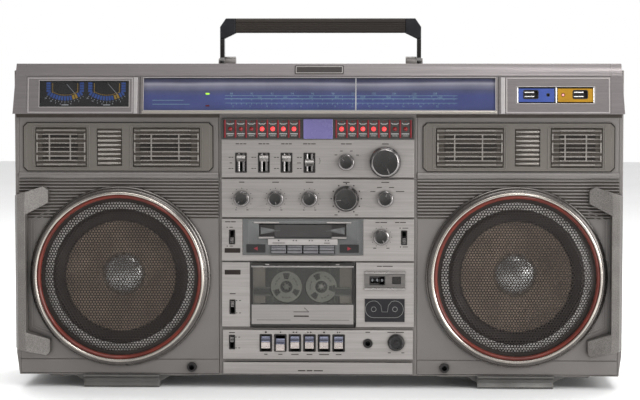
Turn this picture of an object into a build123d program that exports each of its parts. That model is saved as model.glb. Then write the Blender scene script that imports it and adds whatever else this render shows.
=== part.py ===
from build123d import *
from math import atan2, degrees
import os

# A large twin-cassette boombox: a two-part cabinet with a leaning tuner visor on top, a woofer and a
# louvred mid/treble panel on each side, and a centre column of control panels, two tape decks and a
# drawer for spare tapes. Millimetres. X is to the listener's right, Y runs from front to back and Z is
# up. The origin is on the floor, under the middle of the whole object.

# ---- driving dimensions ----
HALF_WIDTH = 368.0
HALF_VISOR = 368.0
HALF_VISOR_TOP = 364.0
BOTTOM = 15.6                # underside of the cabinet, held up by the feet
DECK = 386.0                 # top of the cabinet
VISOR_TOP = 394.2
BAFFLE_Y = -80.0             # front plane of the cabinet
PANEL_Y = -83.0              # front plane of the control panels
SPLIT_Y = 10.0               # where the front and rear cabinets meet
REAR_Y = 97.0
FRONT_LIMIT = -100.0         # the tuning knob and the guards reach this far forward
REAR_LIMIT = 100.0           # the rear bumpers reach this far back
SIDE_WALL = 5.0
WALL = 3.0
FLOOR_WALL = 1.5
GAP = 0.3                    # running gap round doors, keys and drawers

COLUMN = 120.0               # half width of the centre column's wall
PANEL_HALF = 116.5           # half width of the control panels
SEAL_Z = 336.4               # the baffles run up behind the visor to here

WOOFER_X = 240.5
WOOFER_Z = 136.0
WOOFER_HOLE = 97.0
BEZEL_R = 110.0

VISOR_FOOT = (-97.0, 333.7)  # lower front edge of the visor, as (Y, Z)
VISOR_HEAD = (-90.0, 380.0)  # upper edge of its leaning face
VISOR_LEAN = degrees(atan2(VISOR_HEAD[0] - VISOR_FOOT[0], VISOR_HEAD[1] - VISOR_FOOT[1]))
VISOR_BACK = -80.2
END_CAP_X = 351.5

DIAL = (-209.6, 213.4, 4.5, 44.0)       # windows in the visor's face: X from, X to, and how far
METER = (-335.8, -227.3, 8.6, 40.6)     # up the face from its foot, from and to
POWER = (238.5, 331.7, 13.2, 33.0)
POINTER_X = 46.0
SECURITY_SLOT_X = 255.7
POWER_SLOT_X = 314.7
POWER_THROW = 2.0

# Control panels, as (Z from, Z to).
TUNING_ROW = (256.9, 302.8)
TONE_ROW = (208.6, 254.5)
TAPE2_ROW = (155.5, 206.3)
TAPE1_ROW = (75.2, 153.6)
KEY_ROW = (35.6, 71.2)
DRAWER_ROW = (17.4, 31.6)
LED_ROW = (302.9, 328.2)
LED_Z = 315.4

TAPE2_BAY = (-90.8, 54.6, 162.7, 206.3)
FLAP = (-70.7, 33.8, 184.1, 199.8)
DOOR = (-81.4, 44.3, 75.2, 152.8)
TAPE_CENTRE = (-17.1, 123.5)            # midway between the cassette's hubs, as (X, Z)
HUB_SPACING = 42.5                      # compact cassette standard
CASSETTE = (100.4, 63.8)                # compact cassette standard, width and height
REEL_R = 18.8
COUNTER = (56.7, 105.9, 120.4, 143.3)   # frame of the tape counter
COUNTER_WINDOW = (63.1, 81.3, 126.7, 137.0)
RESET_WINDOW = (90.2, 100.8, 127.8, 136.9)
RUN_INDICATOR = (57.0, 105.4, 81.5, 109.7)

LOUVRE_PANEL = (126.7, 357.9, 263.7, 323.1)
SLATS = 8
LOUVRES = [                             # X from, X to, Z from, Z to, upright ribs
    (143.6, 223.3, 269.5, 315.9, 2),
    (238.2, 267.3, 271.2, 314.6, 0),
    (281.5, 342.1, 269.5, 315.9, 2),
]
HORN_Z = 292.7

# Rotary knobs: name, X, Z, radius of the cap, height of the cap above the panel.
KNOBS = [
    ("band_select_knob", 34.5, 275.1, 9.8, 13.0),
    ("tuning_knob", 81.6, 275.3, 18.7, 17.0),
    ("bass_knob", -92.2, 230.9, 9.5, 13.0),
    ("treble_knob", -51.1, 230.9, 9.5, 13.0),
    ("balance_knob", -10.0, 230.9, 9.5, 13.0),
    ("volume_knob", 34.5, 231.1, 15.5, 15.0),
    ("function_knob", 81.6, 230.8, 9.7, 13.0),
    ("record_level_knob", 77.0, 184.6, 9.5, 13.0),
    ("monitor_level_knob", 95.1, 56.4, 10.4, 8.0),
]
SHAFT_R = 3.0
SHAFT_HOLE_R = 3.5

# Tall slide switches with metal caps: name, X, and how far the cap stands above the middle.
LEVER_Z = 274.6
LEVER_WINDOW = (13.6, 23.6)
LEVER_THROW = 5.5
LEVERS = [
    ("tape2_type_switch", -92.9, LEVER_THROW),
    ("tape1_type_switch", -65.2, LEVER_THROW),
    ("loudness_switch", -37.8, LEVER_THROW),
    ("stereo_mode_switch", -10.1, 0.0),
]
# Small slide switches: name, X, Z, and how far the nub stands above the middle.
SLIDE_THROW = 3.5
SLIDES = [
    ("dubbing_switch", -104.0, 184.4, -SLIDE_THROW),
    ("record_mode_switch", 104.5, 183.9, -SLIDE_THROW),
    ("noise_reduction_switch", -103.6, 99.3, SLIDE_THROW),
    ("microphone_mix_switch", -104.3, 56.2, SLIDE_THROW),
]
SLIDE_SLOT = (5.0, 15.6)

KEY_WINDOW = (44.8, 66.0)
KEY_PITCH = 17.7
KEY_START = -63.2
KEY_PIVOT = (-40.0, 57.0)               # as (Y, Z)
KEY_TRAVEL = 3.4                        # degrees
KEYS = ["record_key", "play_key", "rewind_key", "fast_forward_key", "stop_eject_key", "pause_key"]
LATCHED_KEY = "play_key"                # stands in its pressed place, as the deck is running

TAPE2_KEY_START = -47.4
TAPE2_KEY_PITCH = 19.5
TAPE2_KEY_BED = (-57.0, 20.7, 163.9, 174.4)
TAPE2_KEYS = ["tape2_stop_key", "tape2_rewind_key", "tape2_forward_key", "tape2_program_key"]

JACKS = [(-153.7, 25.0), (153.7, 25.0), (60.7, 55.1)]
JACK_BORE_R = 3.25
JACK_R = 5.5
JACK_FRONT = -84.5
JACK_BORE_END = -68.0

TRAY_BACK = -4.0

HANDLE_PIVOT = (24.0, 395.0)            # as (Y, Z)
HANDLE_OUT = 125.8
ARM_THICK = 5.3
ARM_R = 8.0
GRIP_HALF_DEPTH = 7.5
GRIP_Z = (432.5, 450.7)
GRIP_HALF = 106.0
CORNER_FOOT_Z = 425.0

BATTERY_BAY = (-158.0, 158.0, 60.0, 45.0, 118.0)   # X from, X to, Y of its floor, Z from, Z to
TERMINALS = (-330.0, -200.0, 55.0, 105.0)          # recess for the mains inlet: X and Z, from and to
ANTENNA_NOTCH = (-HALF_WIDTH - 1, 350.0, 84.0, 369.5)  # rebate along the rear top edge, open at the left
ANTENNA_BASE_X = 330.0
ANTENNA_YZ = (91.0, 378.0)
ANTENNA_R = 4.0
ANTENNA_LENGTH = 330.0


# ---- helpers ----
def block(x0, x1, y0, y1, z0, z1):
    """A box between two corners."""
    return Pos((x0 + x1) / 2, (y0 + y1) / 2, (z0 + z1) / 2) * Box(x1 - x0, y1 - y0, z1 - z0)


def rod_y(x, z, y0, y1, r):
    """A cylinder from front to back."""
    return Pos(x, (y0 + y1) / 2, z) * Rot(90, 0, 0) * Cylinder(r, y1 - y0)


def rod_x(y, z, x0, x1, r):
    """A cylinder from left to right."""
    return Pos((x0 + x1) / 2, y, z) * Rot(0, 90, 0) * Cylinder(r, x1 - x0)


def prism_x(outline, x0, x1):
    """A (Y, Z) outline swept from x0 to x1."""
    plane = Plane(origin=(x0, 0, 0), x_dir=(0, 1, 0), z_dir=(1, 0, 0))
    return extrude(plane * Polygon(*outline, align=None), amount=x1 - x0, dir=(1, 0, 0))


def prism_y(outline, y0, y1):
    """An (X, Z) outline swept from y0 to y1."""
    plane = Plane(origin=(0, y1, 0), x_dir=(1, 0, 0), z_dir=(0, -1, 0))
    return extrude(plane * Polygon(*outline, align=None), amount=y1 - y0, dir=(0, -1, 0))


def turned(x, z, outline):
    """A (radius, Y) outline turned about a front-to-back axis."""
    return Pos(x, 0, z) * revolve(Polygon(*outline, align=None), Axis.Y)


def on_visor(shape):
    """Moves a shape drawn against an upright face at Y = 0, foot at Z = 0, onto the visor's face."""
    return Pos(0, *VISOR_FOOT) * Rot(-VISOR_LEAN, 0, 0) * shape


def grown(bay, by, y0, y1):
    """A block round an (X from, X to, Z from, Z to) opening, larger by a margin."""
    return block(bay[0] - by, bay[1] + by, y0, y1, bay[2] - by, bay[3] + by)


def mirrored(shape):
    return shape.mirror(Plane.YZ)


def save(name, *solids):
    export_step(Compound(children=list(solids)), f"parts/{name}.step")


# ---- cabinet ----
def bottom_corner_cut(y0, y1):
    """The lower side corners lean in towards the floor."""
    side, beyond = HALF_WIDTH, HALF_WIDTH + 2
    outline = [(side - 3.6, BOTTOM - 1), (beyond, BOTTOM - 1), (beyond, 42), (side, 42)]
    wedge = prism_y(outline, y0, y1)
    return wedge, mirrored(wedge)


def panel_holes():
    """Every opening that the controls need through the centre column, front to back."""
    y0, y1 = PANEL_Y - 1, BAFFLE_Y + WALL + 1
    holes = [rod_y(x, z, y0, y1, SHAFT_HOLE_R) for _, x, z, _, _ in KNOBS]
    width, height = LEVER_WINDOW
    for _, x, _ in LEVERS:
        holes.append(block(x - width / 2, x + width / 2, y0, y1, LEVER_Z - height / 2, LEVER_Z + height / 2))
    width, height = SLIDE_SLOT
    for _, x, z, _ in SLIDES:
        holes.append(block(x - width / 2, x + width / 2, y0, y1, z - height / 2, z + height / 2))
    for i in range(len(KEYS)):
        x = KEY_START + KEY_PITCH * i
        holes.append(block(x - 7.5, x + 7.5, y0, y1, *KEY_WINDOW))
    holes.append(rod_y(*JACKS[2], y0, y1, JACK_R + 0.2))
    holes += [grown(window, 0, y0, y1) for window in (COUNTER_WINDOW, RESET_WINDOW)]
    return holes


def front_cabinet():
    """Outer frame with the centre column's wall across it."""
    shell = block(-HALF_WIDTH, HALF_WIDTH, BAFFLE_Y, SPLIT_Y, BOTTOM, DECK)
    inner = HALF_WIDTH - SIDE_WALL
    shell -= block(-inner, inner, BAFFLE_Y - 1, SPLIT_Y + 1, BOTTOM + FLOOR_WALL, DECK - WALL)
    for wedge in bottom_corner_cut(BAFFLE_Y - 1, SPLIT_Y + 1):
        shell -= wedge
    column = block(-COLUMN, COLUMN, BAFFLE_Y, BAFFLE_Y + WALL, BOTTOM + 1, SEAL_Z)
    drawer_way = (-112.4, 112.4, BOTTOM + FLOOR_WALL, DRAWER_ROW[1] + GAP)
    column -= grown(drawer_way, 0, BAFFLE_Y - 1, BAFFLE_Y + WALL + 1)
    column -= grown(TAPE2_BAY, -1.5, BAFFLE_Y - 1, BAFFLE_Y + WALL + 1)
    column -= grown(DOOR, 1.1, BAFFLE_Y - 1, BAFFLE_Y + WALL + 1)
    for hole in panel_holes():
        column -= hole
    return shell + column


def rear_cabinet():
    """Rear shell with the battery bay, the antenna's notch, a terminal recess and the handle's pivots."""
    shell = block(-HALF_WIDTH, HALF_WIDTH, SPLIT_Y, REAR_Y, BOTTOM, DECK)
    inner = HALF_WIDTH - SIDE_WALL
    cavity = block(-inner, inner, SPLIT_Y - 1, REAR_Y - WALL, BOTTOM + WALL, DECK - WALL)
    bay_x0, bay_x1, bay_y, bay_z0, bay_z1 = BATTERY_BAY
    bay = block(bay_x0, bay_x1, bay_y, REAR_Y + 1, bay_z0, bay_z1)
    notch_x0, notch_x1, notch_y, notch_z = ANTENNA_NOTCH
    notch = block(notch_x0, notch_x1, notch_y, REAR_Y + 1, notch_z, DECK + 1)
    terminals = grown(TERMINALS, 0, REAR_Y - 8, REAR_Y + 1)
    cavity -= grown((bay_x0, bay_x1, bay_z0, bay_z1), WALL, bay_y - WALL, REAR_Y)
    cavity -= block(notch_x0 - WALL, notch_x1 + WALL, notch_y - WALL, REAR_Y, notch_z - WALL, DECK)
    cavity -= grown(TERMINALS, WALL, REAR_Y - 8 - WALL, REAR_Y)
    shell -= cavity
    for cut in (bay, notch, terminals, *bottom_corner_cut(SPLIT_Y - 1, REAR_Y + 1)):
        shell -= cut
    for x in (-345, 345):
        for z in (40, 350):
            shell += rod_y(x, z, REAR_Y - 1, REAR_LIMIT, 8)
    pivot_y, pivot_z = HANDLE_PIVOT
    arm_in = HANDLE_OUT - ARM_THICK
    bracket = block(arm_in - 14, arm_in - GAP, pivot_y - ARM_R, pivot_y + ARM_R, DECK - 1, pivot_z)
    bracket += rod_x(pivot_y, pivot_z, arm_in - 14, arm_in - GAP, ARM_R)
    bracket += rod_x(pivot_y, pivot_z, arm_in - 5, HANDLE_OUT + 0.4, 4)
    bracket += rod_x(pivot_y, pivot_z, HANDLE_OUT + 0.3, HANDLE_OUT + 2, 6)
    return shell + bracket + mirrored(bracket)


def speaker_baffle():
    """Right-hand front board: a woofer hole, a window for the louvre panel and a scored lower strip."""
    x0, x1 = COLUMN + GAP, HALF_WIDTH - SIDE_WALL - GAP
    board = block(x0, x1, BAFFLE_Y, BAFFLE_Y + 4, BOTTOM + FLOOR_WALL + GAP, SEAL_Z)
    board -= rod_y(WOOFER_X, WOOFER_Z, BAFFLE_Y - 1, BAFFLE_Y + 5, WOOFER_HOLE)
    board -= block(130, 354, BAFFLE_Y - 1, BAFFLE_Y + 5, 266.5, 320)
    board -= block(COLUMN, HALF_WIDTH, BAFFLE_Y - 1, BAFFLE_Y + 1, 34, 35)
    board -= rod_y(*JACKS[1], BAFFLE_Y - 1, BAFFLE_Y + 5, JACK_R + 0.2)
    return board


# ---- tuner visor ----
def visor_outline():
    foot_y, foot_z = VISOR_FOOT
    return [
        (foot_y, foot_z),
        VISOR_HEAD,
        (-86.0, VISOR_TOP),
        (-60.0, VISOR_TOP),
        (-60.0, DECK + 0.2),
        (VISOR_BACK, DECK + 0.2),
        (VISOR_BACK, foot_z),
    ]


def visor():
    """The middle length of the visor, hollow from behind, with its three windows."""
    body = prism_x(visor_outline(), -END_CAP_X + 0.2, END_CAP_X - 0.2)
    hollow = [(-93.6, 336.6), (-87.0, 380.0), (-85.4, 385.8), (-79.0, 385.8), (-79.0, 336.6)]
    body -= prism_x(hollow, -END_CAP_X + 3, END_CAP_X - 3)
    for x0, x1, z0, z1 in (DIAL, METER, POWER):
        body -= on_visor(block(x0, x1, -2, 6, z0, z1))
    body -= on_visor(block(-END_CAP_X, END_CAP_X, -2, 0.9, 45.0, 46.2))
    for x in (-214.0, 217.0):
        body -= on_visor(block(x - 1, x + 1, -2, 1.6, -1, 45.1))
    return body


def visor_end_cap():
    """Right-hand end of the visor, whose outer side leans in towards the top."""
    cap = prism_x(visor_outline(), END_CAP_X, HALF_VISOR)
    foot_z = VISOR_FOOT[1]
    beyond = HALF_VISOR + 5
    above = VISOR_TOP + 1
    lean = [(HALF_VISOR, foot_z), (beyond, foot_z - 1), (beyond, above), (HALF_VISOR_TOP, above)]
    return cap - prism_y(lean, -110, -50)


def window_pane(window):
    x0, x1, z0, z1 = window
    return on_visor(block(x0 + GAP, x1 - GAP, 0.8, 2.8, z0 + GAP, z1 - GAP))


def dial_plate(window, depth):
    x0, x1, z0, z1 = window
    return on_visor(block(x0 - 3, x1 + 3, depth, depth + 1.2, z0 + 0.8, z1 - 1.0))


def meter_needle(x):
    """A needle hanging from a pivot at the top of the meter, swung towards the right."""
    needle = Pos(x, 0, METER[3] - 1) * Rot(0, -38, 0) * block(-0.35, 0.35, 4.4, 4.9, -21, -1)
    return on_visor(needle)


def power_plate(x0, x1, slot_x, lamp_x):
    plate = block(x0, x1, 0.8, 2.8, 14.7, 31.2)
    plate -= block(slot_x - 8.6, slot_x + 8.6, 0, 4, 19.1, 28.8)
    plate -= rod_y(lamp_x, 23.4, 0, 4, 1.6)
    return on_visor(plate)


def power_slider(x):
    """A ridged slider in a slot of the visor's power panel."""
    slider = block(x - 4.6, x + 4.6, -1.4, 3.4, 20.6, 27.2)
    slider += block(x - 6.4, x + 6.4, 3.4, 4.8, 19.6, 28.2)
    return on_visor(slider)


# ---- centre column ----
def control_panels():
    """The bright plates that carry the controls, one solid each."""
    back = BAFFLE_Y
    tape2 = block(-PANEL_HALF, PANEL_HALF, PANEL_Y, back, *TAPE2_ROW)
    tape2 -= grown(TAPE2_BAY, 0.5, PANEL_Y - 1, back + 1)
    plates = [
        block(-PANEL_HALF, PANEL_HALF, PANEL_Y, back, *TUNING_ROW),
        block(-PANEL_HALF, PANEL_HALF, PANEL_Y, back, *TONE_ROW),
        tape2,
        block(-PANEL_HALF, DOOR[0] - 0.8, PANEL_Y, back, *TAPE1_ROW),
        block(DOOR[1] + 2.2, PANEL_HALF, PANEL_Y, back, *TAPE1_ROW),
        block(-PANEL_HALF + 1, PANEL_HALF - 1, PANEL_Y, back, *KEY_ROW),
    ]
    for i, plate in enumerate(plates):
        box = plate.bounding_box()
        for hole in panel_holes():
            at = hole.bounding_box()
            if box.min.Z < at.center().Z < box.max.Z and box.min.X < at.center().X < box.max.X:
                plate -= hole
        plates[i] = plate
    return plates


def counter_wheels():
    """Three digit wheels of the tape counter on one shaft, behind its window."""
    middle = (COUNTER_WINDOW[2] + COUNTER_WINDOW[3]) / 2
    first = COUNTER_WINDOW[0] + 0.6
    shaft = rod_x(-74.5, middle, first, first + 17, 1.2)
    wheels = [rod_x(-74.5, middle, first + 5.8 * i, first + 5.4 + 5.8 * i, 5.0) - shaft for i in range(3)]
    return [shaft, *wheels]


def counter_bezel():
    """The frame round the counter's window and its reset button."""
    frame = grown(COUNTER, 0, PANEL_Y - 1.6, PANEL_Y)
    for window in (COUNTER_WINDOW, RESET_WINDOW):
        frame -= grown(window, 0, PANEL_Y - 3, PANEL_Y + 1)
    return frame


def led_display():
    """A channel of fourteen lamps either side of a plain blue window."""
    housing = block(-PANEL_HALF, PANEL_HALF, PANEL_Y - 0.6, BAFFLE_Y, *LED_ROW)
    housing -= grown((-PANEL_HALF, PANEL_HALF, *LED_ROW), -2, PANEL_Y - 2, PANEL_Y + 1)
    places = [side * (28.8 + 12.85 * i) for side in (-1, 1) for i in range(7)]
    lamps = [rod_y(x, LED_Z, PANEL_Y - 0.8, PANEL_Y + 1, 2.5) for x in places]
    window = block(-17.4, 18.2, PANEL_Y - 2.2, PANEL_Y + 1, LED_ROW[0] + 0.4, LED_ROW[1] - 0.4)
    return [housing - window, window, *lamps]


def knob(x, z, radius, height):
    """A cap with a narrower front, a skirt and a shaft."""
    back = PANEL_Y - 0.7
    front = PANEL_Y - height
    outline = [
        (0, front),
        (radius - 1.6, front),
        (radius - 0.8, front + 0.8),
        (radius - 0.4, back - 3.2),
        (radius, back - 2.6),
        (radius, back),
        (SHAFT_R, back),
        (SHAFT_R, -66),
        (0, -66),
    ]
    return turned(x, z, outline)


def lever(x, rise):
    """A metal cap on a stem, which rides up and down in its window."""
    z = LEVER_Z + rise
    cap = block(x - 5.4, x + 5.4, PANEL_Y - 3.0, PANEL_Y + 2.5, z - 4.2, z + 4.2)
    return cap + block(x - 1.5, x + 1.5, PANEL_Y + 2, -68, z - 2, z + 2)


def slide_nub(x, z, rise):
    z += rise
    nub = block(x - 2.1, x + 2.1, PANEL_Y - 2.4, -76, z - 3.4, z + 3.4)
    return nub + block(x - 4, x + 4, -76.4, -73, z - 5, z + 5)


def tape2_bay():
    """The upper deck's surround, with its slot, its key bed and the tunnel that takes the cassette."""
    x0, x1, z0, z1 = TAPE2_BAY
    face = block(x0, x1, BAFFLE_Y - 1.6, BAFFLE_Y, z0, z1)
    rim = block(x0, x1, PANEL_Y, BAFFLE_Y - 1.6, z0, z1) - grown(TAPE2_BAY, -1.0, PANEL_Y - 1, BAFFLE_Y)
    tunnel = grown(FLAP, 2.6, BAFFLE_Y - 1, -8)
    slot = grown(FLAP, 0.6, PANEL_Y - 1, -10)
    keys = grown(TAPE2_KEY_BED, 0, PANEL_Y - 1, BAFFLE_Y + 1)
    return face + rim + tunnel - slot - keys


def tape2_flap():
    flap_x0, flap_x1, flap_z0, flap_z1 = FLAP
    leaf = block(flap_x0, flap_x1, BAFFLE_Y - 0.4, BAFFLE_Y + 1.3, flap_z0, flap_z1 - 1)
    return leaf + rod_x(BAFFLE_Y + 0.45, flap_z1 - 1, flap_x0, flap_x1, 0.85)


def tape2_key(i):
    x = TAPE2_KEY_START + TAPE2_KEY_PITCH * i
    z0, z1 = TAPE2_KEY_BED[2] + GAP, TAPE2_KEY_BED[3] - GAP
    key = block(x - 9.1, x + 9.1, PANEL_Y - 3.0, BAFFLE_Y + 6, z0, z1)
    return key - block(x - 10, x + 10, PANEL_Y - 4, PANEL_Y - 1.4, z1 - 2.8, z1 + 1)


def tape1_door():
    """The lower deck's door: a frame round a window, a bright sill plate and the cassette's side channels."""
    x0, x1, z0, z1 = DOOR
    front = PANEL_Y - 1.4
    frame = block(x0, x1, front, front + 3, z0, z1)
    frame -= block(x0 + 2.5, x1 - 2.5, front - 1, front + 4, 102.9, z1 - 4.8)
    middle = TAPE_CENTRE[0]
    for side in (-1, 1):
        inner = middle + side * (CASSETTE[0] / 2 + 0.5)
        outer = inner + side * 2.2
        frame += block(min(inner, outer), max(inner, outer), front + 2, -66.5, 84.0, 101.0)
        frame += block(min(inner, outer), max(inner, outer), front + 5, -66.5, 101.0, 142.0)
    pane = block(x0 + 2.8, x1 - 2.8, front + 0.5, front + 2.3, 103.2, z1 - 5.1)
    sill = block(x0 + 1.0, x1 - 1.0, front - 0.9, front, 78.4, 102.4)
    return frame, pane, sill


def hubs():
    middle, z = TAPE_CENTRE
    return (middle - HUB_SPACING / 2, z), (middle + HUB_SPACING / 2, z)


def cassette():
    """A compact cassette shell with a round pocket for each reel and a hole behind each hub."""
    middle, hub_z = TAPE_CENTRE
    width, height = CASSETTE
    bottom = hub_z - 35.2
    shell = block(middle - width / 2, middle + width / 2, -78.4, -69.6, bottom, bottom + height)
    top = bottom + 13
    thick = [(middle - 33, bottom), (middle + 33, bottom), (middle + 30, top), (middle - 30, top)]
    shell += prism_y(thick, -79.6, -68.4)
    for x, z in hubs():
        shell -= rod_y(x, z, -80, -71.4, REEL_R + 0.9)
        shell -= rod_y(x, z, -80, -68, 6.0)
    return shell


def reel(x, z):
    """A tape reel: a flange with three windows and a hub that the spindle drives."""
    flange = rod_y(x, z, -79.0, -78.0, REEL_R)
    for i in range(3):
        flange -= Pos(x, 0, z) * Rot(0, 120 * i, 0) * block(-4.0, 4.0, -80, -77, 8.8, 15.6)
    hub = rod_y(x, z, -78.5, -72.0, 10.0)
    return flange + hub - rod_y(x, z, -80, -71, 4.4)


def play_rotation():
    """Turns a key about its pivot into its latched place."""
    y, z = KEY_PIVOT
    return Pos(0, y, z) * Rot(KEY_TRAVEL, 0, 0) * Pos(0, -y, -z)


def deck_key(i):
    """A piano key whose nose shows in its window and whose tail turns on the deck's pivot rod."""
    x = KEY_START + KEY_PITCH * i
    nose = [(-88, 48.5), (-88, 57), (-86, 60), (-86, 64), (-84.6, 65.6), (-70, 65.6), (-70, 48.5)]
    key = prism_x(nose, x - 6.7, x + 6.7)
    key += block(x - 3, x + 3, -70.5, KEY_PIVOT[0], 54.0, 60.0)
    key += rod_x(*KEY_PIVOT, x - 3, x + 3, 4.5)
    key -= rod_x(*KEY_PIVOT, x - 4, x + 4, 2.06)
    return play_rotation() * key if KEYS[i] == LATCHED_KEY else key


def spare_tape_drawer():
    """An open tray behind a bright front, deep enough for two cassettes lying flat."""
    z0, z1 = DRAWER_ROW
    tray = block(-112, 112, BAFFLE_Y - 1, TRAY_BACK, z0, z1)
    tray -= block(-110, 110, BAFFLE_Y + 2, TRAY_BACK - 2, z0 + 1.2, z1 + 1)
    return tray + block(-115, 115, PANEL_Y, BAFFLE_Y - GAP, z0, z1)


# ---- loudspeakers ----
def woofer_bezel():
    outline = [
        (93.4, BAFFLE_Y),
        (BEZEL_R, BAFFLE_Y),
        (BEZEL_R, -82.5),
        (108.0, -88.0),
        (104.6, -93.2),
        (102.4, -95.0),
        (100.2, -94.6),
        (100.2, -88.2),
        (95.4, -88.2),
        (95.4, -84.0),
        (93.4, -84.0),
    ]
    return turned(WOOFER_X, WOOFER_Z, outline)


def woofer_trim_ring():
    outline = [(95.6, -88.2), (99.9, -88.2), (99.9, -92.4), (98.4, -93.4), (95.6, -91.8)]
    return turned(WOOFER_X, WOOFER_Z, outline)


def woofer_grille():
    """A dished grille, modelled as an unbroken skin."""
    outline = [(0, -85.2), (70, -86.0), (78, -88.0), (92, -84.0), (95.2, -84.0), (95.2, -85.2)]
    outline += [(92.3, -85.2), (78, -89.3), (69.6, -87.2), (0, -86.4)]
    return turned(WOOFER_X, WOOFER_Z, outline)


def woofer_driver():
    """The woofer's basket and magnet, and its cone with the surround and dust cap."""
    basket = turned(WOOFER_X, WOOFER_Z, [
        (88, -76), (103, -76), (103, -73), (94, -73), (52, -28), (52, -6), (0, -6),
        (0, -24), (46, -24), (46, -31), (88, -74)
    ])
    cone = turned(WOOFER_X, WOOFER_Z, [
        (0, -50), (16, -48.5), (27, -44), (78, -69), (82, -74.5), (87.5, -74.5), (87.5, -75.9), (81, -76.4),
        (76, -71.4), (27, -47), (16, -50.8), (0, -52)
    ])
    return basket, cone


def louvre(x0, x1, z0, z1, ribs):
    """A block of slats with open slots between them, on upright ribs."""
    grid = block(x0, x1, BAFFLE_Y - 3, BAFFLE_Y + WALL, z0, z1)
    pitch = (z1 - z0) / SLATS
    for i in range(1, SLATS):
        z = z0 + pitch * i
        grid -= block(x0 + 1.6, x1 - 1.6, BAFFLE_Y - 4, BAFFLE_Y + 7, z - 1, z + 1)
    for i in range(ribs):
        x = x0 + (x1 - x0) * (i + 1) / (ribs + 1)
        grid += block(x - 0.7, x + 0.7, BAFFLE_Y, BAFFLE_Y + WALL, z0, z1)
    return grid


def louvre_panel():
    """Right-hand mid and treble panel with its three louvre blocks."""
    x0, x1, z0, z1 = LOUVRE_PANEL
    cut = 4.5
    outline = [
        (x0 + cut, z0), (x1 - cut, z0), (x1, z0 + cut), (x1, z1 - cut),
        (x1 - cut, z1), (x0 + cut, z1), (x0, z1 - cut), (x0, z0 + cut),
    ]
    panel = prism_y(outline, BAFFLE_Y - 1.2, BAFFLE_Y)
    panel += block(x0 + 4, x1 - 4.5, BAFFLE_Y - 0.6, BAFFLE_Y + 3, z0 + 3.5, z1 - 3.5)
    for x0, x1, z0, z1, _ in LOUVRES:
        panel -= grown((x0, x1, z0, z1), 0.2, BAFFLE_Y - 3, BAFFLE_Y + 6)
    return panel, [louvre(*place) for place in LOUVRES]


def horn_driver(x, radius):
    """A small driver behind a louvre block: a flange, a frame and a magnet."""
    outline = [(0, -62), (radius * 0.6, -62), (radius, -73), (radius, -76), (0, -70)]
    magnet = rod_y(x, HORN_Z, -62, -48, radius * 0.55)
    return turned(x, HORN_Z, outline) + magnet


def side_guard():
    """Right-hand bumper: an upright bar with a prong at each end that leans in over the baffle."""
    inner, outer, root = 353.4, 362.7, HALF_WIDTH - 1
    outline = [
        (root, 235.0), (outer, 236.5), (333.0, 246.0), (326.8, 241.7), (326.8, 225.8), (inner, 211.8),
        (inner, 68.9), (326.0, 59.7), (326.0, 44.0), (330.0, 39.6), (outer, 47.5), (root, 49.0),
    ]
    bar = prism_y(outline, FRONT_LIMIT, BAFFLE_Y)
    face = [(320.0, FRONT_LIMIT - 1), (inner, FRONT_LIMIT - 1), (inner, FRONT_LIMIT), (320.0, -88.0)]
    edge = [(outer, FRONT_LIMIT - 1), (root + 1, FRONT_LIMIT - 1), (root + 1, -88.0), (outer, FRONT_LIMIT)]
    for cut in (face, edge):
        bar -= extrude(Plane.XY * Polygon(*cut, align=None), amount=300, dir=(0, 0, 1))
    return bar


def foot():
    """Right-hand skid under the cabinet, with a gusset each side."""
    front = [(-84, BOTTOM), (-84, 13.6), (-79, 11), (-77.5, 7), (-80, 1.6), (-78, 0)]
    outline = [*front, (72, 0), (76, 4), (76, BOTTOM)]
    skid = prism_x(outline, 193.5, 286.0)
    pan = [
        (144, BOTTOM), (150, 12.4), (182, 12.4), (193.5, 5.5),
        (286, 5.5), (298, 12.4), (328, 12.4), (334, BOTTOM),
    ]
    return skid + prism_y(pan, -70, 70)


# ---- handle, antenna and battery cover ----
def handle_arm():
    """Right-hand arm, turning on a pin at the cabinet's deck."""
    pivot_y, pivot_z = HANDLE_PIVOT
    arm_in = HANDLE_OUT - ARM_THICK
    arm = block(arm_in, HANDLE_OUT, pivot_y - ARM_R + 1, pivot_y + ARM_R - 1, pivot_z, CORNER_FOOT_Z)
    arm += rod_x(pivot_y, pivot_z, arm_in, HANDLE_OUT, ARM_R)
    return arm - rod_x(pivot_y, pivot_z, arm_in - 1, HANDLE_OUT + 1, 4.08)


def handle_corner():
    z0, z1 = GRIP_Z
    outline = [
        (HANDLE_OUT, CORNER_FOOT_Z), (HANDLE_OUT, z1 - 10.7), (HANDLE_OUT - 7.3, z1),
        (GRIP_HALF, z1), (GRIP_HALF, z0), (HANDLE_OUT - ARM_THICK, CORNER_FOOT_Z),
    ]
    pivot_y = HANDLE_PIVOT[0]
    return prism_y(outline, pivot_y - GRIP_HALF_DEPTH, pivot_y + GRIP_HALF_DEPTH)


def handle_grip():
    pivot_y = HANDLE_PIVOT[0]
    grip = block(-GRIP_HALF, GRIP_HALF, pivot_y - GRIP_HALF_DEPTH, pivot_y + GRIP_HALF_DEPTH, *GRIP_Z)
    return fillet(grip.edges().filter_by(Axis.X), 2.5)


def antenna_mast():
    """The outer tube, clipped along the notch, with the knuckle that it turns on."""
    y, z = ANTENNA_YZ
    tube = rod_x(y, z, ANTENNA_BASE_X - ANTENNA_LENGTH, ANTENNA_BASE_X - 6, ANTENNA_R)
    knuckle = rod_y(ANTENNA_BASE_X, z, y - 4, y + 4, 7)
    tube += knuckle
    tube -= rod_x(y, z, ANTENNA_BASE_X - ANTENNA_LENGTH - 1, ANTENNA_BASE_X - 12, ANTENNA_R - 0.8)
    return tube - rod_y(ANTENNA_BASE_X, z, y - 5, y + 5, 2.58)


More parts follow.
